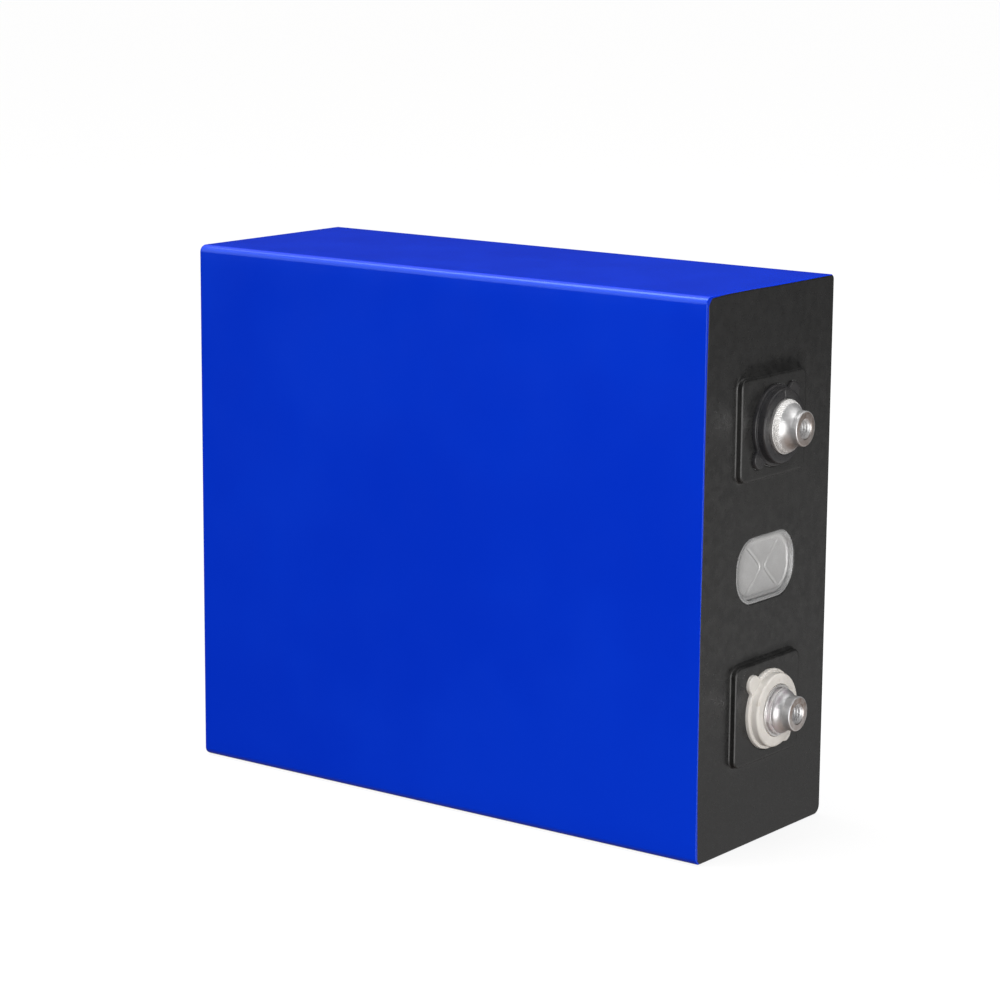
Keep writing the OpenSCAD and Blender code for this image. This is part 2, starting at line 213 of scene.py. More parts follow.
def turned(name, rings, zc, count, capped=False, smooth_angle=38):
    """A body of (radius, x) rings round the X axis at height zc. Radius and x may be arrays
    over the angle, which is 0 along +Y and 90 degrees along +Z. The last ring joins the
    first, unless both ends are capped."""
    turn = full_turn(count)
    verts = []
    for radius, x in rings:
        radius = np.broadcast_to(np.asarray(radius, float), (count,))
        x = np.broadcast_to(np.asarray(x, float), (count,))
        verts.append(np.stack([x, radius * np.cos(turn), zc + radius * np.sin(turn)], 1))
    faces = ring_faces(len(rings), count)
    last = (len(rings) - 1) * count
    following = [(j + 1) % count for j in range(count)]
    if capped:
        centre = len(rings) * count
        verts.append(np.array([[np.mean(rings[i][1]), 0, zc] for i in (0, -1)]))
        faces += [(centre, following[j], j) for j in range(count)]
        faces += [(centre + 1, last + j, last + following[j]) for j in range(count)]
    else:
        faces += [(last + j, last + following[j], following[j], j) for j in range(count)]
    return make(name, np.concatenate(verts), faces, smooth_angle)


def round_rect(half_y, half_z, radii, step_y, step_z, corner, bottom_ys=()):
    """Points (y, z) and outward normals of a rounded rectangle, up the -Y side first.
    radii: in the order of EDGE_RADII. corner: segments of a corner. bottom_ys: extra
    points on the -Z side."""
    points, normals = [], []
    r1, r2, r3, r4 = radii

    def line(start, end, normal, step, extra_ys=()):
        start, end = np.array(start, float), np.array(end, float)
        pieces = max(1, int(round(np.linalg.norm(end - start) / step)))
        places = list(np.linspace(0, 1, pieces + 1)[1:-1])
        places += [(y - start[0]) / (end[0] - start[0]) for y in extra_ys]
        for place in sorted(t for t in places if 0 < t < 1):
            points.append(start + (end - start) * place)
            normals.append(normal)

    def arc(cy, cz, start_angle, radius):
        for k in range(corner + 1):
            t = math.radians(start_angle - 90 * k / corner)
            normals.append((math.cos(t), math.sin(t)))
            points.append((cy + radius * math.cos(t), cz + radius * math.sin(t)))

    line((-half_y, -half_z + r4), (-half_y, half_z - r1), (-1, 0), step_z)
    arc(-half_y + r1, half_z - r1, 180, r1)
    line((-half_y + r1, half_z), (half_y - r2, half_z), (0, 1), step_y)
    arc(half_y - r2, half_z - r2, 90, r2)
    line((half_y, half_z - r2), (half_y, -half_z + r3), (1, 0), step_z)
    arc(half_y - r3, -half_z + r3, 0, r3)
    line((half_y - r3, -half_z), (-half_y + r4, -half_z), (0, -1), step_y, bottom_ys)
    arc(-half_y + r4, -half_z + r4, -90, r4)
    return np.array(points, float), np.array(normals, float)


def inside_loop(points, loop):
    """Which of the points (y, z) are inside a closed loop."""
    y, z = points[:, 0], points[:, 1]
    inside = np.zeros(len(points), bool)
    for (y0, z0), (y1, z1) in zip(loop, np.roll(loop, -1, 0)):
        crossing = (y1 - y0) * (z - z0) / (z1 - z0 + 1e-30) + y0
        inside ^= ((z0 > z) != (z1 > z)) & (y < crossing)
    return inside


def distance_to_loop(points, loop):
    start = loop[None]
    side = np.roll(loop, -1, 0)[None] - start
    offset = points[:, None] - start
    t = np.clip((offset * side).sum(2) / np.maximum((side * side).sum(2), 1e-12), 0, 1)
    return np.linalg.norm(offset - side * t[..., None], axis=2).min(1)


def depth_inside(points, loop):
    """Distance to the loop, positive inside it and negative outside."""
    distance = distance_to_loop(points, loop)
    return np.where(inside_loop(points, loop), distance, -distance)


def triangulate(rings, outer, holes, free, free_heights):
    """A triangulated sheet of (loop, heights) rings and free points, kept within outer and
    out of the holes. Returns vertices (y, z, height) and triangles."""
    edges, start = [], 0
    for loop, _ in rings:
        count = len(loop)
        edges += [(start + i, start + (i + 1) % count) for i in range(count)]
        start += count
    everything = rings + [(free, free_heights)]
    points = np.concatenate([loop for loop, _ in everything])
    heights = np.concatenate([np.broadcast_to(np.asarray(h, float), (len(loop),))
                              for loop, h in everything])
    verts, _, tris, origins, _, _ = delaunay_2d_cdt(
        [Vector(p) for p in points], edges, [], 0, 1e-6, True)
    verts = np.array([tuple(p) for p in verts], float)
    height = np.array([heights[o[0]] if len(o) else np.nan for o in origins])
    tris = np.array([t for t in tris if len(t) == 3], int)
    middles = verts[tris].mean(1)
    keep = inside_loop(middles, outer)
    for hole in holes:
        keep &= ~inside_loop(middles, hole)
    # points made where edges cross take the height of their nearest neighbour
    known = ~np.isnan(height)
    for i in np.where(~known)[0]:
        height[i] = height[known][((verts[known] - verts[i]) ** 2).sum(1).argmin()]
    return np.column_stack([verts, height]), tris[keep]


def vertex_normals(verts, tris):
    first = verts[tris[:, 0]]
    normals = np.cross(verts[tris[:, 1]] - first, verts[tris[:, 2]] - first)
    out = np.zeros_like(verts)
    for k in range(3):
        np.add.at(out, tris[:, k], normals)
    return out / np.maximum(np.linalg.norm(out, axis=1)[:, None], 1e-12)


def thicken(verts, tris, thickness):
    """A closed shell, with verts as its outer side (towards +X)."""
    normals = vertex_normals(verts, tris)
    if (normals[:, 0] < 0).mean() > 0.5:
        tris = tris[:, ::-1]
        normals = -normals
    edges = dict.fromkeys(e for a, b, c in tris for e in ((a, b), (b, c), (c, a)))
    rim = [(a, b) for a, b in edges if (b, a) not in edges]
    normals[[i for edge in rim for i in edge]] = (1, 0, 0)
    count = len(verts)
    faces = [tuple(f) for f in tris] + [tuple(count + i for i in f[::-1]) for f in tris]
    faces += [(b, a, a + count, b + count) for a, b in rim]
    return np.concatenate([verts, verts - normals * thickness]), faces


# ------------------------------------------------------------------ shader tools


class Nodes:
    """Builds the node tree of a material or a world."""

    def __init__(self, owner, output):
        owner.use_nodes = True
        self.owner = owner
        self.tree = owner.node_tree
        self.tree.nodes.clear()
        self.out = self.add(output)
        self.coord = self.add("ShaderNodeTexCoord")
        self.position = self.coord.outputs["Object"]

    def add(self, kind, inputs=None, **settings):
        """A node with its settings, and its inputs as values or sockets to link."""
        node = self.tree.nodes.new(kind)
        for key, value in settings.items():
            setattr(node, key, value)
        for key, value in (inputs or {}).items():
            socket = node.inputs[key]
            if isinstance(value, bpy.types.NodeSocket):
                self.tree.links.new(value, socket)
            else:
                socket.default_value = rgba(value) if socket.type == "RGBA" else value
        return node

    def noise(self, scale, detail, rough, vector=None):
        """Scale is in features per metre."""
        return self.add("ShaderNodeTexNoise", {
            "Vector": vector or self.position, "Scale": scale, "Detail": detail,
            "Roughness": rough}).outputs["Fac"]

    def stretched(self, scale):
        """The object position, scaled along each axis."""
        return self.add("ShaderNodeMapping", {"Vector": self.position,
                                              "Scale": scale}).outputs[0]

    def range(self, value, to=(0, 1), over=(0.3, 0.7)):
        """Carries the value smoothly from the span over to the span to."""
        return self.add("ShaderNodeMapRange", {
            "Value": value, "From Min": over[0], "From Max": over[1],
            "To Min": to[0], "To Max": to[1]}, interpolation_type="SMOOTHSTEP").outputs[0]

    def math(self, operation, first, second=None):
        inputs = {0: first} if second is None else {0: first, 1: second}
        return self.add("ShaderNodeMath", inputs, operation=operation).outputs[0]

    def times(self, first, second):
        return self.math("MULTIPLY", first, second)

    def mix(self, factor, first, second):
        return self.add("ShaderNodeMix", {0: factor, 6: first, 7: second},
                        data_type="RGBA").outputs[2]

    def mix_shader(self, factor, first, second):
        return self.add("ShaderNodeMixShader", {0: factor, 1: first, 2: second}).outputs[0]

    def bump(self, height, strength, distance, normal=None):
        inputs = {"Strength": strength, "Distance": distance, "Height": height}
        if normal is not None:
            inputs["Normal"] = normal
        return self.add("ShaderNodeBump", inputs).outputs[0]

    def split(self, vector=None):
        return self.add("ShaderNodeSeparateXYZ", {0: vector or self.position}).outputs

    def done(self, shader):
        self.tree.links.new(shader, self.out.inputs["Surface"])
        return self.owner

    def principled(self, color, rough, normal, more=None):
        """Ends the tree in a Principled shader. more holds its other inputs."""
        return self.done(self.add("ShaderNodeBsdfPrincipled", {
            "Base Color": color, "Roughness": rough, "Normal": normal,
            **(more or {})}).outputs[0])


def rgba(color):
    return (*color, 1.0)[:4]


def material(name):
    return Nodes(bpy.data.materials.new(name), "ShaderNodeOutputMaterial")


# ------------------------------------------------------------------ materials


def wrap_film():
    mat = material("wrap_blue_film")
    patches = mat.noise(scale=14, detail=3, rough=0.55)
    fine = mat.noise(scale=420, detail=2, rough=0.6)
    color = mat.mix(mat.range(patches, over=(0.35, 0.65)),
                    (0.0004, 0.0245, 0.490), (0.0008, 0.0285, 0.515))
    rough = mat.range(mat.noise(scale=60, detail=3, rough=0.6), to=(0.17, 0.22))
    # very shallow waves of the film over the can, then its fine skin
    waves = mat.noise(scale=9, detail=1, rough=0.4, vector=mat.stretched((0.6, 1, 1)))
    normal = mat.bump(waves, strength=0.25, distance=0.0006)
    normal = mat.bump(fine, strength=0.08, distance=0.00003, normal=normal)
    dust = mat.range(mat.noise(scale=2600, detail=1, rough=0.5), over=(0.78, 0.86))
    color = mat.mix(mat.times(dust, 0.03), color, (0.5, 0.55, 0.7))
    return mat.principled(color, rough, normal, {
        "IOR": 1.45, "Specular IOR Level": 0.5, "Specular Tint": (0.5, 0.90, 0.97, 1.0)})


def face_film():
    mat = material("face_film_black")
    mottle = mat.noise(scale=260, detail=4, rough=0.65)
    patches = mat.noise(scale=22, detail=2, rough=0.5)
    grain = mat.noise(scale=1500, detail=2, rough=0.6)
    color = mat.mix(mat.range(mottle, over=(0.35, 0.68)),
                    (0.0112, 0.0112, 0.0112), (0.0218, 0.0218, 0.0214))
    color = mat.mix(mat.range(patches, to=(0, 0.5), over=(0.4, 0.7)), color,
                    (0.0195, 0.0195, 0.019))
    # painted shade: darker towards the bottom and the top of the face
    z = mat.split()[2]
    painted_shade_low = mat.range(z, to=(1, 0), over=(0.0, 0.075))
    painted_shade_high = mat.range(z, to=(0, 0.45), over=((2 * MID_Z - 52) * MM, (2 * MID_Z - 12) * MM))
    color = mat.mix(mat.math("ADD", painted_shade_low, painted_shade_high), color, (0.0070, 0.0070, 0.0070))
    rough = mat.range(grain, to=(0.27, 0.35))
    normal = mat.bump(mat.noise(scale=70, detail=3, rough=0.5), strength=0.06, distance=0.0003)
    normal = mat.bump(grain, strength=0.16, distance=0.00002, normal=normal)
    specks = mat.range(mat.noise(scale=900, detail=1, rough=0.5), over=(0.80, 0.88))
    color = mat.mix(mat.times(specks, 0.10), color, (0.2, 0.2, 0.19))
    # painted highlight: the film is paler where it faces half outwards and half to the front,
    # as on the front edges of the bosses
    facing = mat.split(mat.add("ShaderNodeNewGeometry").outputs["Normal"])
    painted_edge_highlight = mat.times(mat.range(facing[0], over=(0.30, 0.55)),
                       mat.range(facing[1], to=(1, 0), over=(-0.75, -0.40)))
    uneven = mat.noise(scale=300, detail=2, rough=0.6)
    painted_edge_highlight = mat.times(painted_edge_highlight, mat.range(uneven, to=(0.6, 1.0), over=(0.35, 0.65)))
    color = mat.mix(painted_edge_highlight, color, (0.060, 0.060, 0.060))
    grazing = mat.add("ShaderNodeLayerWeight").outputs["Facing"]
    return mat.principled(color, rough, normal, {
        "IOR": 1.45,
        "Specular IOR Level": mat.range(grazing, to=(0.62, 0.25), over=(0.84, 0.95))})


def polar(mat, zc):
    """X, radius (metres) and angle (radians) round the X axis at height zc (millimetres)."""
    x, y, z = mat.split()
    dz = mat.math("SUBTRACT", z, zc * MM)
    radius = mat.math("SQRT", mat.math("ADD", mat.times(y, y), mat.times(dz, dz)))
    return x, radius, mat.math("ARCTAN2", dz, y)


def turned_metal(name, base, zc=None, rough=(0.26, 0.36), satin=0.12, tint=None, low=0.0,
                 tip=None, weld=None):
    """Turned aluminium with concentric tool marks if zc, the height of its axis, is given.
    satin: share of the light scattered by oxide. tint: colour of the outer part.
    low: strength of the painted brown reflection and shade on the underside. tip: X of the cut
    end face, which gets a painted brown reflection and shade.
    weld: below this X the metal is bright weld scale."""
    mat = material(name)
    patches = mat.noise(scale=180, detail=3, rough=0.6)
    fine = mat.noise(scale=3000, detail=2, rough=0.6)
    color = mat.mix(mat.range(patches), base, tuple(c * 0.93 for c in base))
    roughness = mat.range(mat.noise(scale=700, detail=3, rough=0.6), to=rough)
    metallic = 1.0 - satin
    normal = None
    if zc is not None:
        x, radius, angle = polar(mat, zc)
    if tint:
        patchy = mat.range(mat.noise(scale=300, detail=2, rough=0.5),
                           to=(0.05, 0.75), over=(0.40, 0.62))
        outside = mat.range(radius, over=(0.0056, 0.0064))
        color = mat.mix(mat.times(outside, patchy), color, tint)
    if low:
        # painted brown reflection and shade on the lower side of the post, outside the ring
        painted_underside_shade = mat.range(mat.split()[2], to=(1, 0), over=((zc - 5.5) * MM, (zc - 1.0) * MM))
        outer_part = mat.range(x, over=((FACE + 8.2) * MM, (FACE + 9.4) * MM))
        patchy = mat.range(mat.noise(scale=350, detail=3, rough=0.6), to=(0.4 * low, low))
        color = mat.mix(mat.times(mat.times(painted_underside_shade, outer_part), patchy), color,
                        (0.30, 0.22, 0.175))
    if zc is not None:
        # noise that is nearly constant round the axis makes rings of marks and grime
        rings = mat.add("ShaderNodeCombineXYZ", {
            0: mat.times(x, 1.0), 1: radius, 2: mat.times(angle, 0.00012)}).outputs[0]
        marks = mat.noise(scale=9000, detail=2, rough=0.7, vector=rings)
        normal = mat.bump(marks, strength=0.35, distance=0.000005)
        grime = mat.range(mat.noise(scale=420, detail=3, rough=0.6, vector=rings),
                          to=(0, 0.22), over=(0.5, 0.75))
        color = mat.mix(grime, color, (0.42, 0.38, 0.35))
    if tip:
        end = mat.range(x, over=((tip - 0.3) * MM, (tip - 0.03) * MM))
        cut = mat.times(end, mat.range(radius, to=(1, 0), over=(0.0049, 0.0053)))
        spots = mat.range(mat.noise(scale=600, detail=3, rough=0.6),
                          to=(0.55, 0.95), over=(0.35, 0.65))
        # painted brown reflection and shade, mostly over the upper part of the cut face
        upper = mat.range(mat.split()[2], to=(0.55, 1.0),
                          over=((zc - 4.0) * MM, (zc + 3.5) * MM))
        color = mat.mix(mat.times(mat.times(cut, spots), upper), color, (0.38, 0.285, 0.235))
        metallic = mat.math("ADD", mat.times(cut, satin), 1.0 - satin)
    if weld:
        scale = mat.range(x, to=(1, 0), over=((weld - 0.15) * MM, (weld + 0.15) * MM))
        spots = mat.range(mat.noise(scale=1100, detail=3, rough=0.7),
                          to=(0, 0.4), over=(0.55, 0.78))
        color = mat.mix(scale, color,
                        mat.mix(spots, (0.82, 0.81, 0.80), (0.52, 0.46, 0.41)))
        metallic = mat.math("SUBTRACT", metallic, mat.times(scale, 0.22))
        roughness = mat.math("ADD", roughness, mat.times(scale, 0.14))
    normal = mat.bump(fine, strength=0.2, distance=0.000004, normal=normal)
    return mat.principled(color, roughness, normal, {"Metallic": metallic})


def plastic(name, base, second, rough=(0.35, 0.5), specular=0.45, subsurface=0.0, stain=None):
    """Moulded plastic that varies between two colours, with an optional stain colour."""
    mat = material(name)
    patches = mat.noise(scale=120, detail=3, rough=0.55)
    fine = mat.noise(scale=1800, detail=3, rough=0.6)
    color = mat.mix(mat.range(patches, over=(0.35, 0.65)), base, second)
    if stain:
        stained = mat.range(mat.noise(scale=300, detail=4, rough=0.7),
                            to=(0, 0.5), over=(0.56, 0.74))
        color = mat.mix(stained, color, stain)
    normal = mat.bump(mat.noise(scale=200, detail=2, rough=0.5), strength=0.1, distance=0.0001)
    normal = mat.bump(fine, strength=0.12, distance=0.00001, normal=normal)
    more = {"Specular IOR Level": specular}
    if subsurface:
        more.update({"Subsurface Weight": subsurface, "Subsurface Radius": (1.0, 0.9, 0.75),
                     "Subsurface Scale": 0.0008})
    return mat.principled(color, mat.range(fine, to=rough), normal, more)


def clear_film():
    """Clear protective film: see-through, very slightly milky, with glossy reflections."""
    mat = material("vent_clear_film")
    normal = mat.bump(mat.noise(scale=140, detail=2, rough=0.5), strength=0.10, distance=0.0004)
    normal = mat.bump(mat.noise(scale=900, detail=2, rough=0.5), strength=0.05,
                      distance=0.00003, normal=normal)
    clear = mat.add("ShaderNodeBsdfTransparent", {0: (0.96, 0.96, 0.96)})
    shine = mat.add("ShaderNodeBsdfAnisotropic", {
        "Color": (0.95, 0.95, 0.95), "Normal": normal,
        "Roughness": mat.range(mat.noise(scale=500, detail=3, rough=0.6), to=(0.12, 0.24))})
    milk = mat.add("ShaderNodeBsdfDiffuse", {0: (0.80, 0.80, 0.80)})
    fresnel = mat.add("ShaderNodeFresnel", {0: 1.5, "Normal": normal}).outputs[0]
    haze = mat.range(mat.noise(scale=120, detail=3, rough=0.6), to=(0.02, 0.05))
    body = mat.mix_shader(haze, clear.outputs[0], milk.outputs[0])
    # only the outer side reflects, at 2.2 times the plain Fresnel strength
    backfacing = mat.add("ShaderNodeNewGeometry").outputs["Backfacing"]
    front = mat.math("SUBTRACT", 1.0, backfacing)
    reflected = mat.math("MINIMUM", mat.times(mat.times(fresnel, 2.2), front), 1.0)
    return mat.done(mat.mix_shader(reflected, body, shine.outputs[0]))


def sheet_metal(name, base, rough=(0.3, 0.45), brushed=(1, 1, 1), scale=900, metallic=1.0,
                bump=0.00003):
    """Rolled or drawn metal. brushed: scale of the streaks along each axis."""
    mat = material(name)
    streaks = mat.noise(scale=scale, detail=4, rough=0.7, vector=mat.stretched(brushed))
    patches = mat.noise(scale=60, detail=3, rough=0.6)
    color = mat.mix(mat.range(patches), base, tuple(c * 0.86 for c in base))
    return mat.principled(color, mat.range(streaks, to=rough),
                          mat.bump(streaks, strength=0.15, distance=bump),
                          {"Metallic": metallic})


def wound_core():
    """The ends of a wound core show thin layers of foil, coating and separator."""
    mat = material("wound_core")
    layers = mat.add("ShaderNodeTexWave", {
        "Vector": mat.position, "Scale": 1100, "Distortion": 1.2, "Detail": 2},
        wave_type="BANDS", bands_direction="Y").outputs["Fac"]
    ramp = mat.add("ShaderNodeValToRGB", {0: layers})
    stops = ramp.color_ramp.elements
    stops[0].color = rgba((0.02, 0.02, 0.022))
    stops[1].color = rgba((0.05, 0.05, 0.055))
    for place, stop_color in ((0.5, (0.30, 0.30, 0.31)), (0.8, (0.45, 0.24, 0.14))):
        stops.new(place).color = rgba(stop_color)
    patches = mat.range(mat.noise(scale=60, detail=3, rough=0.6), to=(0, 0.4), over=(0.4, 0.7))
    color = mat.mix(patches, ramp.outputs[0], (0.10, 0.10, 0.11))
    rough = mat.range(mat.noise(scale=500, detail=3, rough=0.6), to=(0.4, 0.7))
    return mat.principled(color, rough, mat.bump(layers, strength=0.4, distance=0.0001))


def rubber():
    mat = material("seal_rubber_black")
    grain = mat.noise(scale=1200, detail=3, rough=0.6)
    color = mat.mix(mat.range(grain), (0.012, 0.012, 0.012), (0.03, 0.03, 0.03))
    return mat.principled(color, mat.range(grain, to=(0.55, 0.75)),
                          mat.bump(grain, strength=0.2, distance=0.00005))


# Keyed by material slot, with a few further keys for single pieces
MATERIALS = {
    "wrap_blue": wrap_film(),
    "film_black": face_film(),
    "pos_metal": turned_metal(
        "turned_aluminium_pos", (0.88, 0.88, 0.885), POS_Z, tip=TIP, rough=(0.33, 0.42),
        satin=0.2, weld=FACE + 8.0, low=0.75),
    "neg_metal": turned_metal(
        "turned_aluminium_neg", (0.88, 0.88, 0.89), NEG_Z, tint=(0.84, 0.74, 0.81), tip=TIP,
        rough=(0.32, 0.42), satin=0.19, low=0.35),
    "ring_pos": turned_metal(
        "clamp_ring_metal_pos", (0.86, 0.85, 0.84), POS_Z, rough=(0.26, 0.38)),
    "ring_neg": turned_metal(
        "clamp_ring_metal", (0.86, 0.85, 0.84), NEG_Z, rough=(0.26, 0.38)),
    "gasket_black": plastic(
        "gasket_black_moulded", (0.018, 0.018, 0.020), (0.030, 0.029, 0.030),
        rough=(0.26, 0.36), specular=0.52, stain=(0.045, 0.042, 0.04)),
    "gasket_cream": plastic(
        "gasket_cream_moulded", (0.625, 0.600, 0.565), (0.56, 0.537, 0.503),
        rough=(0.40, 0.52), specular=0.4, subsurface=0.15, stain=(0.44, 0.39, 0.33)),
    "film_clear": clear_film(),
    "vent_aluminium": sheet_metal(
        "vent_sheet", (0.80, 0.80, 0.80), rough=(0.34, 0.44), metallic=0.72, bump=0.000006),
    "can_aluminium": sheet_metal(
        "drawn_aluminium", (0.72, 0.73, 0.74), rough=(0.35, 0.5), brushed=(0.05, 1, 1)),
    "lid_aluminium": sheet_metal("lid_sheet", (0.74, 0.75, 0.755), brushed=(1, 1, 0.05)),
    "terminal_aluminium": turned_metal("pole_aluminium", (0.78, 0.78, 0.78)),
    "copper": sheet_metal(
        "copper_sheet", (0.78, 0.42, 0.27), rough=(0.28, 0.42), brushed=(1, 0.1, 1)),
    "copper_foil": sheet_metal(
        "copper_foil_stack", (0.80, 0.45, 0.30), rough=(0.2, 0.38), brushed=(1, 0.05, 1),
        scale=3000),
    "foil_aluminium": sheet_metal(
        "aluminium_foil_stack", (0.82, 0.82, 0.83), rough=(0.2, 0.38), brushed=(1, 0.05, 1),
        scale=3000),
    "seal_rubber": rubber(),
    "insulator_white": plastic(
        "insulator_moulded", (0.78, 0.78, 0.76), (0.70, 0.70, 0.67), subsurface=0.05),
    "patch_white": plastic("patch_film", (0.80, 0.80, 0.77), (0.74, 0.74, 0.70)),
    "tape_green": plastic(
        "closing_tape", (0.05, 0.34, 0.16), (0.07, 0.42, 0.20), rough=(0.25, 0.4)),
    "electrode_dark": wound_core(),
}

# ------------------------------------------------------------------ blue wrap

WRAP_T = 0.2
BEND_R = 0.3                                 # where the wrap turns over the terminal face
BASE_R = 1.1                                 # round the base end
LIP = 1.6                                    # width of the edge turned over the terminal face
LIP_X = FACE - FILM_T - 0.005                # the turned edge lies under the face film
LAP_Y, LAP_H = 22.0, 0.11                    # place and height of the film's lap
# Extra outline points near the lap, as distances from LAP_Y
LAP_STATIONS = (-1.0, -0.12, 0.0, 0.12, 0.5, 1.2, 2.5, 4.5, 7.5)
INNER_BASE_X = BASE + WRAP_T + 0.04
RIM_Y, RIM_Z = HALF_Y - BASE_R, HALF_Z - BASE_R   # half sizes of the flat of the base


def wrap_skins(outline, normals):
    """The outer and inner skin between the terminal face and the base, as mesh parts."""
    count = len(outline)

    def ring(x, inset):
        flat = outline - normals * np.reshape(inset, (-1, 1))
        return np.column_stack([np.full(count, x), flat[:, 0], MID_Z + flat[:, 1]])

    # the film's lap on the underside, as a small step that fades out
    past = outline[:, 0] - LAP_Y
    lap = np.where((normals[:, 1] < -0.99) & (past > 0),
                   LAP_H * smoothstep(0, 0.12, past) * np.exp(-np.maximum(past, 0) / 5.0), 0)

    outer = [ring(LID_OUT + 0.004, LIP), ring(LIP_X - 0.03, LIP), ring(LIP_X, LIP - 0.04)]
    bend_x, base_x = LIP_X - BEND_R, BASE + BASE_R
    for a in quarter(6):
        outer.append(ring(bend_x + BEND_R * math.cos(a), BEND_R - BEND_R * math.sin(a)))
    for x in np.linspace(bend_x, base_x, 42)[1:]:
        # the lap fades over 4 mm at the face and 6 mm at the base
        fade = min(1.0, (bend_x - x) / 4.0, max(0.0, (x - BASE - BASE_R) / 6.0))
        outer.append(ring(x, lap * fade))
    for a in quarter(8)[1:]:
        outer.append(ring(base_x - BASE_R * math.sin(a), BASE_R - BASE_R * math.cos(a)))

    mouth_x, mouth_r = LID_OUT + 0.003, 0.1
    inner = [ring(mouth_x, LIP)]
    for a in quarter(4):
        inner.append(ring(mouth_x - mouth_r + mouth_r * math.cos(a),
                          WRAP_T + mouth_r - mouth_r * math.sin(a)))
    inner.append(ring((FACE + BASE) / 2, WRAP_T))
    inner_r = BASE_R - WRAP_T
    for a in quarter(6):
        inner.append(ring(base_x - inner_r * math.sin(a), BASE_R - inner_r * math.cos(a)))
    # the inner skin ends in the plane of the inner base patch
    inner[-1][:, 0] = INNER_BASE_X
    return [(np.concatenate(outer), ring_faces(len(outer), count)),
            (np.concatenate(inner), [f[::-1] for f in ring_faces(len(inner), count)])]


def base_flap(edge_y, side):
    """Outline (y, z) of a flap with its free edge at edge_y. It comes from the front for
    side 1 and from the back for side -1, and slants out to the corners there."""
    outside = 3.0                            # how far it runs past the base
    tip_z = HALF_Z - abs(edge_y + side * HALF_Y) * 0.96
    far_y, far_z = -side * (HALF_Y + outside), HALF_Z + outside
    slant_y, slant_z = edge_y - side * 3.0, tip_z + 2.2
    end_z = tip_z - 1.6
    return np.array([(far_y, -far_z), (slant_y, -slant_z), (edge_y, -end_z),
                     (edge_y, end_z), (slant_y, slant_z), (far_y, far_z)])


def flap_edge_points(flap):
    """Points along both sides of a flap's edges, to carry the step of the fold."""
    centre = flap.mean(0)
    points = []
    for offset in (-0.45, -0.12, 0.12, 0.45):
        for start, end in zip(flap[:-1], flap[1:]):
            length = np.linalg.norm(end - start)
            along = (end - start) / length
            outward = np.array([-along[1], along[0]])
            if outward @ (centre - start) > 0:
                outward = -outward
            for t in np.linspace(0, 1, max(2, int(length / 2.2)), endpoint=False):
                points.append(start + (end - start) * t + outward * offset)
    return np.array(points)


def wrap_base(rim):
    """The base end, folded like a parcel, and its flat inner side, as mesh parts."""
    front_flap = base_flap(7.5, 1)           # on top
    back_flap = base_flap(-11.0, -1)         # under it
    points = grid(np.arange(-RIM_Y + 2, RIM_Y - 1, 3.5), np.arange(-RIM_Z + 2, RIM_Z - 1, 3.5))
    near = np.minimum(np.abs(depth_inside(points, front_flap)),
                      np.abs(depth_inside(points, back_flap)))
    free = np.concatenate([flap_edge_points(front_flap), flap_edge_points(back_flap),
                           points[near > 0.9]])
    free = free[(np.abs(free[:, 0]) < RIM_Y - 0.25) & (np.abs(free[:, 1]) < RIM_Z - 0.25)]
    sheet, tris = triangulate([(rim, 0.0)], rim, [], free, 0.0)

    flat = sheet[:, :2]
    y, z = flat.T
    front = smoothstep(-0.10, 0.10, depth_inside(flat, front_flap))
    back = smoothstep(-0.10, 0.10, depth_inside(flat, back_flap))
    level = 0.14 * front + 0.11 * back * (1 - 0.15 * front)
    fade = smoothstep(0.0, 3.0, np.minimum(RIM_Y - np.abs(y), RIM_Z - np.abs(z)))
    depth = (0.185 - 0.70 * level) * fade
    # the film sags a little into the folds
    depth = depth + 0.012 * fade * np.sin(y * 0.35 + 1.0) * np.sin(z * 0.21)
    depth = np.clip(depth, 0, WRAP_T)

    middle = np.array([[0.0, 0.0], [0, 40.0], [0, -40.0]])
    patch, patch_tris = triangulate([(rim, 0.0)], rim, [], middle, 0.0)
    patch_x = np.full(len(patch), INNER_BASE_X)
    return [(np.column_stack([BASE + depth, y, MID_Z + z]), tris),
            (np.column_stack([patch_x, patch[:, 0], MID_Z + patch[:, 1]]), patch_tris)]


def build_wrap():
    outline, normals = round_rect(HALF_Y, HALF_Z, EDGE_RADII, step_y=4.5, step_z=5.0, corner=12,
                                  bottom_ys=[LAP_Y + d for d in LAP_STATIONS])
    parts = wrap_skins(outline, normals) + wrap_base(outline - normals * BASE_R)
    ob = make("wrap_sleeve", *join(parts), smooth_angle=35)
    finish_piece(ob, "wrap_blue", "blue_wrap")


# ------------------------------------------------------------------ terminal face film

# How far the film's edge falls short of the face, in millimetres from the face's centre
FRONT_MARGIN = np.array([                    # (z, margin) up the front edge
    (-87, 1.0), (-81, 0.85), (-74, 0.64), (-68, 0.44), (-61, 0.31), (-49, 0.28),
    (-36, 0.24), (-30, 0.19), (-21, 0.14), (-12, 0.16), (0, 0.26), (12, 0.50),
    (30, 0.62), (43, 0.68), (55, 0.78), (67, 0.92), (78, 1.12), (87, 1.18)]).T
TOP_MARGIN = np.array([                      # (y, margin) along the top edge
    (-36, 0.75), (-31, 0.45), (-28, 0.26), (-24, 0.13), (-18, 0.11), (-10, 0.12),
    (-4, 0.20), (2, 0.30), (9, 0.30), (36, 0.26)]).T
BACK_MARGIN, BOTTOM_MARGIN = 0.13, 0.14
# (centre z, ear direction, width of the loose film above the boss, how loose it is)
BOSSES = ((POS_Z - MID_Z, POS_EARS, 4.2, 1.0), (NEG_Z - MID_Z, NEG_EARS, 1.5, 0.55))


def ear_directions(ears):
    return [math.radians(ears) + math.pi * k for k in (0, 1)]


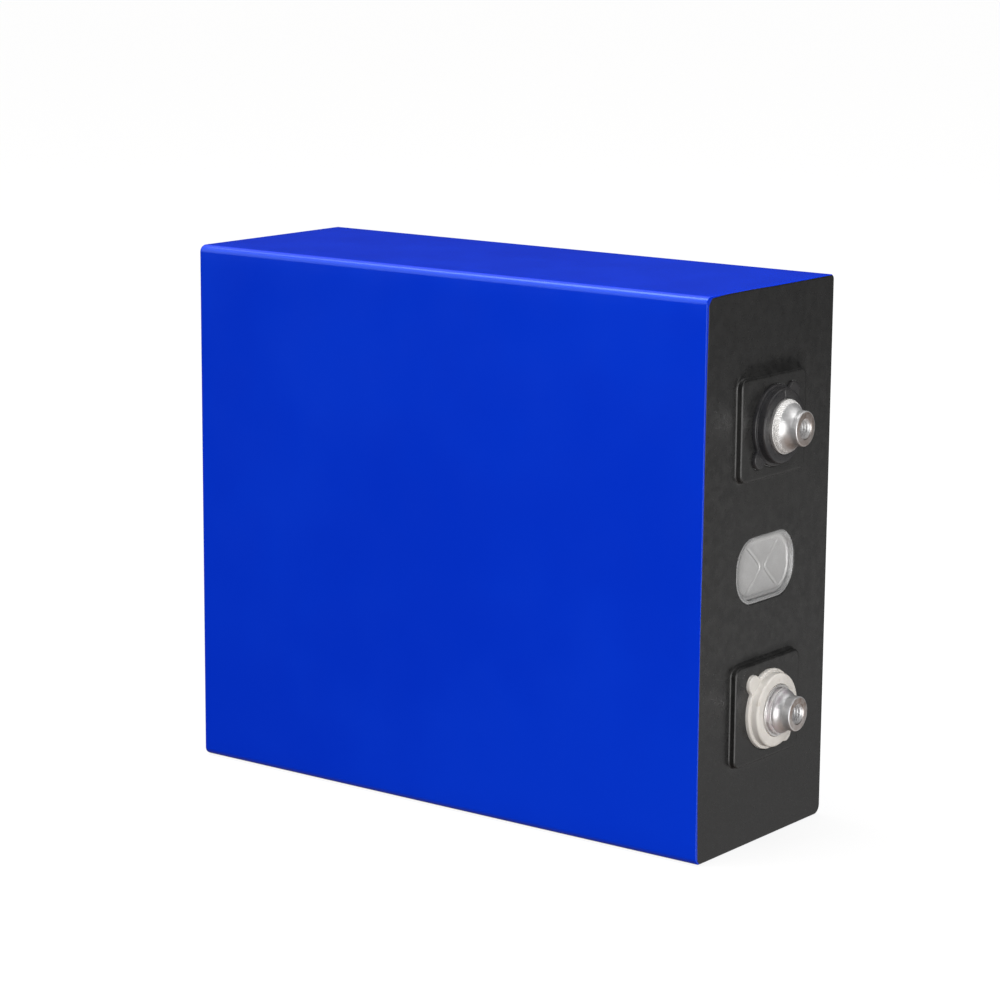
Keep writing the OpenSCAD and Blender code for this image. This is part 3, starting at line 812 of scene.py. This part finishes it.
def gasket_radius(turn, ears, grow=0.0):
    """Radius of the gasket's outline at the angles turn, grown outwards."""
    radius = np.full(np.shape(turn), FLANGE_R + grow)
    reach = EAR * math.sqrt(2)
    for direction in ear_directions(ears):
        off = (turn - direction + math.pi) % (2 * math.pi) - math.pi
        square = (EAR_R + grow) ** 2 - (reach * np.sin(off)) ** 2
        ear = reach * np.cos(off) + np.sqrt(np.maximum(square, 0))
        radius = np.maximum(radius, np.where((square > 0) & (np.abs(off) < 1), ear, 0))
    return radius


def gasket_loop(ears, grow):
    """The gasket's outline as (y, z), with more points round the ears."""
    turns = [full_turn(240)]
    for direction in ear_directions(ears):
        turns.append(direction + np.radians(np.linspace(-14.5, 14.5, 47)))
    # each is rounded in turn, so that shared angles fall together
    turn = turns[0]
    for more in turns[1:]:
        turn = np.concatenate([turn, more])
    turn = np.unique(np.round(turn % (2 * math.pi), 6))
    radius = gasket_radius(turn, ears, grow)
    return np.column_stack([radius * np.cos(turn), radius * np.sin(turn)])


def vent_loop(inset):
    """The vent's outline as (y, z), moved inwards."""
    half_y, half_z = VENT_Y - inset, VENT_Z - inset
    radius = half_z * 2 * 0.44
    return round_rect(half_y, half_z, (radius,) * 4, step_y=1.5, step_z=0.8, corner=28)[0]


def vent_rings(stations):
    """Rings for triangulate() from (inset, height) stations."""
    return [(vent_loop(inset), height) for inset, height in stations]


def face_edge_rings():
    """The film's outer edge, turned slightly down."""
    rings = []
    for inset, height in ((0.0, -0.05), (0.03, -0.015), (0.08, 0.0), (0.5, 0.0)):
        loop, _ = round_rect(HALF_Y - inset, HALF_Z - inset, [r - inset for r in FACE_RADII],
                             step_y=2.4, step_z=2.6, corner=9)
        y, z = loop.T
        front = smoothstep(-HALF_Y + 3.5, -HALF_Y + 0.5, y)
        top = smoothstep(HALF_Z - 3.5, HALF_Z - 0.5, z)
        back = smoothstep(HALF_Y - 3.0, HALF_Y - 0.5, y)
        bottom = smoothstep(-HALF_Z + 3.0, -HALF_Z + 0.5, z)
        loop = loop + np.column_stack([
            front * np.interp(z, *FRONT_MARGIN) - back * BACK_MARGIN,
            bottom * BOTTOM_MARGIN - top * np.interp(y, *TOP_MARGIN)])
        rings.append((loop, height))
    return rings


def boss_rings(zc, tent, slack):
    """The film over a boss: tight on the wall, but loose along the boss's upper side."""
    loop, normals = round_rect(BOSS_Y, BOSS_Z, (BOSS_R,) * 4, step_y=1.6, step_z=1.6, corner=10)
    loop[:, 0] += BOSS_SHIFT
    # most along the upper side of the boss, fading towards its corners
    loose_share = slack * smoothstep(0.35, 0.95, normals[:, 1]) * smoothstep(
        BOSS_Y + 0.6, BOSS_Y - 6.5, np.abs(loop[:, 0] - BOSS_SHIFT))
    # (distance outside the outline, height) over the top edge and down to the foot
    top_r, foot_r, loose_drop = 0.58, 0.56, 0.75
    tight, loose = [], []
    for a in quarter(6):
        tight.append((-0.50 + top_r * math.sin(a), BOSS_H - top_r + top_r * math.cos(a)))
        loose.append((-0.58 + 0.64 * math.sin(a),
                      BOSS_H - loose_drop + loose_drop * math.cos(a)))
    for k, a in enumerate(quarter(7)[1:], 1):
        tight.append((0.12 + foot_r - foot_r * math.cos(a), foot_r - foot_r * math.sin(a)))
        loose.append((0.02 + tent * (k / 7), (BOSS_H - loose_drop) * (1 - k / 7) ** 1.9))
    centre = np.array([0, zc])
    rings = []
    for (tight_out, tight_h), (loose_out, loose_h) in zip(tight, loose):
        out = tight_out * (1 - loose_share) + loose_out * loose_share
        height = tight_h * (1 - loose_share) + loose_h * loose_share
        rings.append((loop + normals * out[:, None] + centre, height))
    # one more ring just inside the top edge keeps the top flat
    rings.append((loop - normals * 1.0 + centre, BOSS_H))
    return rings


def face_free_points(holes):
    """Loose points with heights, away from the walls of the bosses and from the holes."""
    half_y, half_z = HALF_Y - 0.6, HALF_Z - 0.6
    free = grid(np.arange(-half_y + 1.4, half_y - 1, 2.2),
                np.arange(-half_z + 1.4, half_z - 1, 2.2))
    free = free + rng.normal(0, 0.12, free.shape)
    heights = np.zeros(len(free))
    keep = np.ones(len(free), bool)
    for zc, _, tent, _ in BOSSES:
        dy = np.abs(free[:, 0] - BOSS_SHIFT) - BOSS_Y
        dz = free[:, 1] - zc
        on_top = np.maximum(dy, np.abs(dz) - BOSS_Z) < -1.15
        outside = np.maximum(dy - tent * 0.6,
                             np.where(dz > 0, dz - BOSS_Z - tent, -dz - BOSS_Z))
        keep &= on_top | (outside > 0.8)
        heights[on_top] = BOSS_H
    for hole in holes:
        keep &= ~inside_loop(free, hole) & (distance_to_loop(free, hole) > 0.9)
    keep &= (np.abs(free[:, 0]) < half_y - 0.8) & (np.abs(free[:, 1]) < half_z - 0.8)
    return free[keep], heights[keep]


def build_face_film():
    rings = face_edge_rings()
    outer = rings[0][0]
    holes = []
    for zc, ears, tent, slack in BOSSES:
        rings += boss_rings(zc, tent, slack)
        gasket = [(gasket_loop(ears, grow) + np.array([0, zc]), height) for grow, height in
                  ((0.12, BOSS_H - 0.05), (0.20, BOSS_H), (0.55, BOSS_H))]
        rings += gasket
        holes.append(gasket[0][0])
    vent = vent_rings(((0.0, -0.08), (-0.07, -0.02), (-0.18, 0.0), (-0.6, 0.0)))
    rings += vent
    holes.append(vent[0][0])
    free, heights = face_free_points(holes)
    sheet, tris = triangulate(rings, outer, holes, free, heights)
    y, z, height = sheet.T
    # the film is not dead flat: slow ripples of a few hundredths, none at the edge
    calm = smoothstep(0.4, 3.0, np.minimum(HALF_Y - np.abs(y), HALF_Z - np.abs(z)) - 0.9)
    ripple = 0.022 * (np.sin(y * 0.23 + z * 0.11) + np.sin(z * 0.19 - y * 0.07 + 1.3)) * calm
    height = height + np.where(height < 0.02, -np.abs(ripple), 0)
    verts = np.column_stack([FACE + height, y, MID_Z + z])
    ob = make("face_film", *thicken(verts, tris, FILM_T), smooth_angle=50)
    finish_piece(ob, "film_black", "terminal_face_film")


# ------------------------------------------------------------------ gaskets


def build_gasket(name, node, zc, ears, pocket_r, mat, gate):
    """pocket_r: radius of the pocket for the clamp ring. gate: whether it has a gate mark."""
    top = box_mm(node)[1][0] - FACE
    count, edge_r, foot_h, skirt_r = 540, 0.56, 1.75, 7.0
    turn = full_turn(count)
    # soften the notch between ear and flange
    outline = gasket_radius(turn, ears)
    weights = np.array([1, 2, 3, 2, 1], float)
    weights /= weights.sum()
    soft = sum(w * np.roll(outline, i - 2) for i, w in enumerate(weights))
    outline = np.minimum(np.maximum(soft, FLANGE_R), outline + 0.4)

    # pocket floor, collar, and down to the flange
    collar = rounded([
        (BORE_R, FLANGE_H, 0), (pocket_r, FLANGE_H, 0.15), (pocket_r, top, 0.28),
        (COLLAR_R, top - 0.06, 0.75), (COLLAR_R, FLANGE_H, 0.62),
        (COLLAR_FOOT_R, FLANGE_H, 0)], 7)
    rings = [[radius, FACE + height] for radius, height in collar]
    # flange top out to the outline, following the ears
    for share in (0.35, 0.7):
        radius = COLLAR_FOOT_R + (outline - edge_r - COLLAR_FOOT_R) * share
        rings.append([np.minimum(radius, outline - edge_r), FACE + FLANGE_H])
    # the rounded edge, where a radius of 1 stands for the outline
    edge = rounded([(0.0, FLANGE_H, 0), (1.0, FLANGE_H, edge_r), (1.0, FLANGE_H - 1.35, 0)], 6)
    rings += [[outline - (1.0 - u), FACE + height] for u, height in edge[1:]]
    rings += [[outline - 0.05, FACE + foot_h], [skirt_r, FACE + foot_h],
              [skirt_r, LID_IN], [BORE_R, LID_IN]]
    if gate:
        # the mould's gate mark, a shallow slot at the top of the collar's face
        off = turn - math.radians(93)
        width, depth = 0.45, 0.16
        for ring in rings:
            radius, x = ring
            if np.max(radius) < 11.8 and np.min(x) > FACE + top - 0.4:
                slot = np.exp(-((radius * np.sin(off)) / width) ** 2)
                ring[1] = x - depth * slot * np.where(np.cos(off) > 0, 1, 0)
    finish_piece(turned(name, rings, zc, count, smooth_angle=40), mat, node)


# ------------------------------------------------------------------ clamp rings


def build_ring(name, node, zc, mat, edge, segments, land, smooth_angle):
    """edge: (radius, depth below the top, rounding) corners after the outer wall.
    land: radii of the plain rings that lead from the edge to the bore."""
    lo, hi = box_mm(node)
    bottom, top = lo[0], hi[0]
    outer_r = edge[0][0]
    rings = [(RING_BORE_R, bottom), (outer_r, bottom)]
    rings += rounded([(outer_r, bottom + 0.4, 0)]
                     + [(radius, top - depth, turn_r) for radius, depth, turn_r in edge],
                     segments)
    rings += [(radius, top - 0.02) for radius in land]
    ob = turned(name, rings, zc, 256, smooth_angle=smooth_angle)
    finish_piece(ob, mat, node)


# ------------------------------------------------------------------ threaded posts


def weld_ripple(height, turn):
    """Size of the fine slanted weld ripples, at a height above the ring."""
    phase = 30 * turn + 3.3 * height + 0.45 * np.sin(5 * turn) + 0.25 * np.sin(11 * turn + 1)
    deep = 0.75 + 0.25 * np.sin(23 * turn + 2.0 * np.sin(7 * turn))
    fade = smoothstep(-0.05, 0.12, height) * smoothstep(1.62, 1.3, height)
    return 0.31 * deep * (np.abs(np.sin(phase)) - 0.75) * fade


def thread_rings(tip, count):
    """The M6 x 1 bore, from its bottom out to the countersunk mouth, and the mouth radius."""
    depth, crest, root, mouth, pitch = 7.2, 2.5, 3.04, 3.35, 1.0
    turn = full_turn(count)
    bottom = tip - depth
    rings = [(1.2, bottom - 0.35), (crest, bottom)]
    for x in np.linspace(bottom + 0.25, tip - 0.02, 110):
        phase = ((x - tip) / pitch + turn / (2 * math.pi)) % 1.0
        groove = 1 - np.abs(phase - 0.5) * 2             # 0 at the crest, 1 at the root
        radius = crest + (root - crest) * np.clip((groove - 0.16) / 0.74, 0, 1)
        run_in = smoothstep(bottom + 0.3, bottom + 1.1, x)
        radius = crest + (radius - crest) * run_in
        countersink = crest + max(0.0, x - (tip - (mouth - crest)))
        rings.append((np.maximum(radius, countersink), x))
    return rings, mouth


def build_post(name, node, zc, mat, shaft_x, foot, lower, count):
    """shaft_x: lower end of the plain shaft. foot: finished (radius, x) rings below it.
    lower: (radius, x, rounding) corners from there to the spigot."""
    tip = box_mm(node)[1][0]
    rings, mouth = thread_rings(tip, count)
    rings += rounded([(mouth - 0.02, tip - 0.02, 0), (mouth + 0.06, tip, 0.05),
                      (PIN_R, TIP, 0.32), (PIN_R, shaft_x, 0)], 7)
    rings += foot
    seat = lower[0][1] if len(lower) == 1 else None
    rings += rounded(lower, 7)
    ob = turned(name, rings, zc, count, capped=True, smooth_angle=42)
    finish_piece(ob, mat, node)


def spigot(ring_top):
    """Corners of the post's inner end, from just under the top of the clamp ring."""
    end = ring_top - SPIGOT_LENGTH
    return [(SPIGOT_R, ring_top - 0.015, 0), (SPIGOT_R, end, 0.2), (1.0, end, 0)]


def build_pos_post():
    count, bead_r = 560, 8.33
    turn = full_turn(count)
    ring_top = box_mm("pos_clamp_ring")[1][0]
    # a flared foot
    foot = [(PIN_R + 1.9 * ((4.9 - h) / 3.4) ** 1.9, ring_top + h)
            for h in np.linspace(4.75, 1.62, 16)]
    # the weld bead, a steep convex band with fine slanted ripples
    bead_heights, bead_radii = (0.0, 0.5, 1.0, 1.5), (bead_r, 8.12, 7.82, 7.35)
    for h in np.linspace(1.5, 0.0, 17):
        ripple = weld_ripple(h, turn)
        foot.append((float(np.interp(h, bead_heights, bead_radii)) + 0.8 * ripple,
                     ring_top + h + 0.6 * ripple * smoothstep(0.0, 0.15, h)))
    build_post("post_pos", "pos_post", POS_Z, "pos_metal", ring_top + 4.95, foot,
               [(bead_r, ring_top - 0.015, 0)] + spigot(ring_top), count)


def build_neg_post():
    ring_top = box_mm("neg_clamp_ring")[1][0]
    # (height above the ring, radius) of the flared foot
    flare = np.array([(1.2, 6.92), (1.6, 6.92), (2.0, 6.80), (2.5, 6.45), (3.0, 6.05),
                      (3.5, 5.74), (4.0, 5.52), (4.3, 5.46), (4.6, PIN_R)]).T
    heights = np.linspace(4.6, 1.2, 69)
    radii = np.interp(heights, *flare)
    for _ in range(3):
        radii[3:-3] = np.convolve(radii, np.ones(7) / 7, "same")[3:-3]
    foot = [(float(r), ring_top + float(h)) for r, h in zip(radii[6:-4:3], heights[6:-4:3])]
    collar = [(6.93, ring_top + 1.38, 0), (7.12, ring_top + 1.34, 0.12), (7.12, ring_top, 0.05)]
    build_post("post_neg", "neg_post", NEG_Z, "neg_metal", ring_top + 4.3, foot,
               collar + spigot(ring_top), 240)


# ------------------------------------------------------------------ vent

DISC_LEVEL = -0.2                            # the disc's field, below its rim
SCORE_Y, SCORE_SPREAD = 1.5, 1.42            # the scores are two hyperbolas, at +-SCORE_Y


def score_curve(z):
    """Y of the score on the +Y side, its slope dy/dz, and its length per unit of z."""
    y = np.sqrt(SCORE_Y ** 2 + SCORE_SPREAD * z * z)
    slope = SCORE_SPREAD * z / y
    return y, slope, np.sqrt(1 + slope * slope)


def score_distance(y, z):
    curve, _, stretch = score_curve(z)
    return np.minimum(np.abs(y - curve), np.abs(y + curve)) / stretch


def score_height(y, z):
    """Height of the pressed score lines on the rupture disc: a groove between low ridges."""
    distance = score_distance(y, z)
    groove = -0.20 * np.exp(-(distance / 0.28) ** 2)
    ridge = 0.07 * np.exp(-((distance - 0.75) / 0.35) ** 2)
    return (groove + ridge) * smoothstep(7.2, 6.4, np.abs(z))


def build_vent_disc():
    lo, hi = box_mm("vent_disc")
    rings = vent_rings(((1.06, -0.06), (1.12, -0.01), (1.25, 0.0), (1.75, 0.0), (1.95, -0.03),
                        (2.2, -0.16), (2.5, DISC_LEVEL), (2.8, DISC_LEVEL)))
    # lines of points along the scores, then a grid over the rest
    along = np.linspace(-7.0, 7.0, 57)
    curve, slope, stretch = score_curve(along)
    free = []
    for side in (-1, 1):
        for off in (-1.1, -0.75, -0.5, -0.3, -0.15, 0.0, 0.15, 0.3, 0.5, 0.75, 1.1):
            free.append(np.column_stack([side * (curve + off / stretch),
                                         along - off * slope / stretch]))
    field = grid(np.arange(-13.4, 13.5, 0.9), np.arange(-7.4, 7.5, 0.9))
    free = np.concatenate(free + [field[score_distance(field[:, 0], field[:, 1]) > 1.25]])
    free = free[inside_loop(free, vent_loop(3.0))]
    sheet, tris = triangulate(rings, rings[0][0], [], free, DISC_LEVEL)
    y, z, height = sheet.T
    # the disc crowns slightly between its scores
    crown = 0.10 * smoothstep(0, 5.5, distance_to_loop(sheet[:, :2], vent_loop(2.6)))
    in_field = height <= DISC_LEVEL + 0.001
    height = np.where(in_field, height + score_height(y, z) + crown, height)
    verts = np.column_stack([hi[0] + np.minimum(height, 0.0), y, MID_Z + z])
    verts, faces = thicken(verts, tris, 0.14)
    # never below the CAD disc
    verts[:, 0] = np.maximum(verts[:, 0], lo[0])
    finish_piece(make("rupture_disc", verts, faces, 60), "vent_aluminium", "vent_disc")


def build_vent_film():
    top = box_mm("vent_film")[1][0]
    level, sag_depth = -0.10, 0.74
    rings = vent_rings(((0.06, -0.12), (0.10, -0.05), (0.17, 0.0), (0.28, 0.03), (0.58, 0.03),
                        (0.68, 0.0), (0.80, -0.08), (0.95, level), (1.1, level), (1.3, level),
                        (1.6, level), (1.95, level)))
    free = grid(np.arange(-16, 16.1, 0.8), np.arange(-10, 10.1, 0.8))
    free = free[inside_loop(free, vent_loop(2.3))]
    sheet, tris = triangulate(rings, rings[0][0], [], free, level)
    y, z, height = sheet.T
    opening = vent_loop(0.9)
    distance = distance_to_loop(sheet[:, :2], opening)
    inside = inside_loop(sheet[:, :2], opening)
    # pressed in over the vent's opening, so its middle sits a little below its rim
    sag = np.where(inside, -sag_depth * (1 - np.exp(-distance / 2.7)), 0)
    wrinkle = 0.02 * np.sin(y * 0.9 + 0.5 * z) * np.sin(z * 0.7 + 1.0)
    wrinkle = np.where(inside, wrinkle * (1 - np.exp(-distance / 2.0)), 0)
    verts = np.column_stack([top - 0.03 + (height + sag + wrinkle), y, MID_Z + z])
    ob = make("vent_cover_film", *thicken(verts, tris, 0.1), smooth_angle=60)
    finish_piece(ob, "film_clear", "vent_film")


# ------------------------------------------------------------------ build

build_wrap()
build_face_film()
build_gasket("gasket_pos", "pos_gasket", POS_Z, POS_EARS, pocket_r=8.55, mat="gasket_black",
             gate=True)
build_gasket("gasket_neg", "neg_gasket", NEG_Z, NEG_EARS, pocket_r=8.25, mat="gasket_cream",
             gate=False)
build_ring("weld_ring_pos", "pos_clamp_ring", POS_Z, "ring_pos",
           edge=((8.5, 0.02, 0.12), (8.0, 0.02, 0)), segments=5, land=(RING_BORE_R,),
           smooth_angle=60)
build_ring("clamp_ring_neg", "neg_clamp_ring", NEG_Z, "ring_neg",
           edge=((8.2, 0, 0.28), (7.42, 0, 0.10), (7.32, 0.22, 0.08), (7.1, 0.25, 0)),
           segments=6, land=(6.9, RING_BORE_R), smooth_angle=42)
build_pos_post()
build_neg_post()
build_vent_disc()
build_vent_film()

# CAD nodes that stay
slots = {part["node"]: part["material_slot"] for part in frame["record"]["subparts"]}
for node, ob in frame["nodes"].items():
    ob.data.materials.clear()
    ob.data.materials.append(MATERIALS.get(slots[node], MATERIALS["terminal_aluminium"]))

# ------------------------------------------------------------------ stage


def floor_material():
    """Nearly white, with a faint shadow. Only a camera above the floor sees it."""
    mat = material("floor_pale")
    diffuse = mat.add("ShaderNodeBsdfDiffuse", {0: (0.9, 0.9, 0.9)})
    white = mat.add("ShaderNodeEmission", {0: (1, 1, 1), 1: 1.0})
    surface = mat.mix_shader(0.88, diffuse.outputs[0], white.outputs[0])
    clear = mat.add("ShaderNodeBsdfTransparent")
    backfacing = mat.add("ShaderNodeNewGeometry").outputs["Backfacing"]
    camera_ray = mat.add("ShaderNodeLightPath").outputs["Is Camera Ray"]
    shown = mat.times(camera_ray, mat.math("SUBTRACT", 1.0, backfacing))
    return mat.done(mat.mix_shader(shown, clear.outputs[0], surface))


def stage_floor():
    half, z = 6.0, -0.0003
    me = bpy.data.meshes.new("floor")
    corners = [(-half, -half, z), (half, -half, z), (half, half, z), (-half, half, z)]
    me.from_pydata(corners, [], [(0, 1, 2, 3)])
    ob = bpy.data.objects.new("floor", me)
    bpy.context.scene.collection.objects.link(ob)
    me.materials.append(floor_material())
    ob.visible_shadow = False


# Soft round lights painted on the sky, as shiny surfaces see them:
# (direction, inner angle, outer angle, brightness), angles in degrees
WHITE_LOBES = (
    ((-0.42, -0.15, 0.89), 8, 20, 6.8),      # key softbox, over the left
    ((-0.55, -0.70, 0.45), 17, 30, 1.9),     # pale wall, front left
    ((-0.30, 0.10, 0.95), 15, 58, 0.90),     # ceiling
    ((0.80, -0.57, -0.08), 14, 34, 2.2),     # low softbox, front right
    ((0.52, 0.69, -0.50), 10, 27, 0.6),      # table, back right
    ((0.96, 0.14, -0.20), 9, 22, 2.3),       # strip of the same softbox, right
    ((0.90, 0.42, -0.04), 5, 16, 1.7),       # pale board, back right
)
WARM_LOBES = (
    ((-0.30, 0.10, -0.95), 25, 66, 0.16),    # brown table, underneath
    ((0.45, -0.45, -0.77), 15, 45, 0.12),
)


def lobe_background(sky, lobes, ambient, color):
    """A background with the sum of the lobes over an even ambient strength."""
    strength = ambient
    for direction, inner, outer, brightness in lobes:
        view = sky.add("ShaderNodeVectorMath", {0: sky.coord.outputs["Generated"]},
                       operation="NORMALIZE").outputs[0]
        cosine = sky.add("ShaderNodeVectorMath", {0: view, 1: Vector(direction).normalized()},
                         operation="DOT_PRODUCT").outputs["Value"]
        lobe = sky.range(cosine, to=(0, brightness),
                         over=(math.cos(math.radians(outer)), math.cos(math.radians(inner))))
        strength = sky.math("ADD", lobe, strength)
    return sky.add("ShaderNodeBackground", {0: color, 1: strength}).outputs[0]


def build_world():
    """The painted studio, behind a plain white that only the camera sees."""
    world = bpy.data.worlds.new("studio")
    bpy.context.scene.world = world
    sky = Nodes(world, "ShaderNodeOutputWorld")
    white = lobe_background(sky, WHITE_LOBES, ambient=0.03, color=(1, 0.99, 0.98))
    warm = lobe_background(sky, WARM_LOBES, ambient=0.0, color=(1.0, 0.72, 0.58))
    both = sky.add("ShaderNodeAddShader", {0: white, 1: warm}).outputs[0]
    plain = sky.add("ShaderNodeBackground", {0: (1, 1, 1), 1: 1.0}).outputs[0]
    camera_ray = sky.add("ShaderNodeLightPath").outputs["Is Camera Ray"]
    sky.done(sky.mix_shader(camera_ray, both, plain))


def area(name, where, target, size, power):
    """A square light without reflections."""
    light = bpy.data.lights.new(name, "AREA")
    light.shape = "SQUARE"
    light.size = size
    light.energy = power
    ob = bpy.data.objects.new(name, light)
    ob.location = where
    ob.rotation_mode = "QUATERNION"
    ob.rotation_quaternion = (Vector(target) - Vector(where)).to_track_quat("-Z", "Y")
    ob.visible_glossy = False
    ob.visible_camera = False
    bpy.context.scene.collection.objects.link(ob)


def build_camera(place, azimuth, elevation, roll, lens):
    """Angles in degrees. At azimuth 0 the camera looks along +Y, and elevation tips it down."""
    data = bpy.data.cameras.new("camera")
    data.sensor_width = 36.0
    data.lens = lens
    data.clip_start, data.clip_end = 0.05, 50
    ob = bpy.data.objects.new("camera", data)
    bpy.context.scene.collection.objects.link(ob)
    az, el, roll = (math.radians(angle) for angle in (azimuth, elevation, roll))
    forward = Vector((-math.sin(az) * math.cos(el), math.cos(az) * math.cos(el), -math.sin(el)))
    level = Vector((math.cos(az), math.sin(az), 0))
    upright = level.cross(forward)
    right = level * math.cos(roll) + upright * math.sin(roll)
    up = upright * math.cos(roll) - level * math.sin(roll)
    rotation = Matrix((right, up, -forward)).transposed()
    ob.matrix_world = Matrix.Translation(Vector(place)) @ rotation.to_4x4()
    bpy.context.scene.camera = ob


stage_floor()
build_world()
centre = (CAD_LO + CAD_HI) / 2
area("front_left", (centre.x - 0.75, centre.y - 1.35, 0.75), centre, size=1.1, power=4.1)
area("right", (centre.x + 0.70, centre.y - 0.60, 0.50), (0.10, 0, 0.11), size=0.5, power=5.6)
area("top", (centre.x - 0.1, centre.y - 0.1, 1.7), centre, size=1.2, power=23.0)
build_camera((0.60555, -0.80890, 0.2984), azimuth=36.91, elevation=11.37, roll=0.44,
             lens=114.10)

view = bpy.context.scene.view_settings
view.view_transform = "Standard"
view.look = "None"
view.exposure = 0.0
view.gamma = 1.0
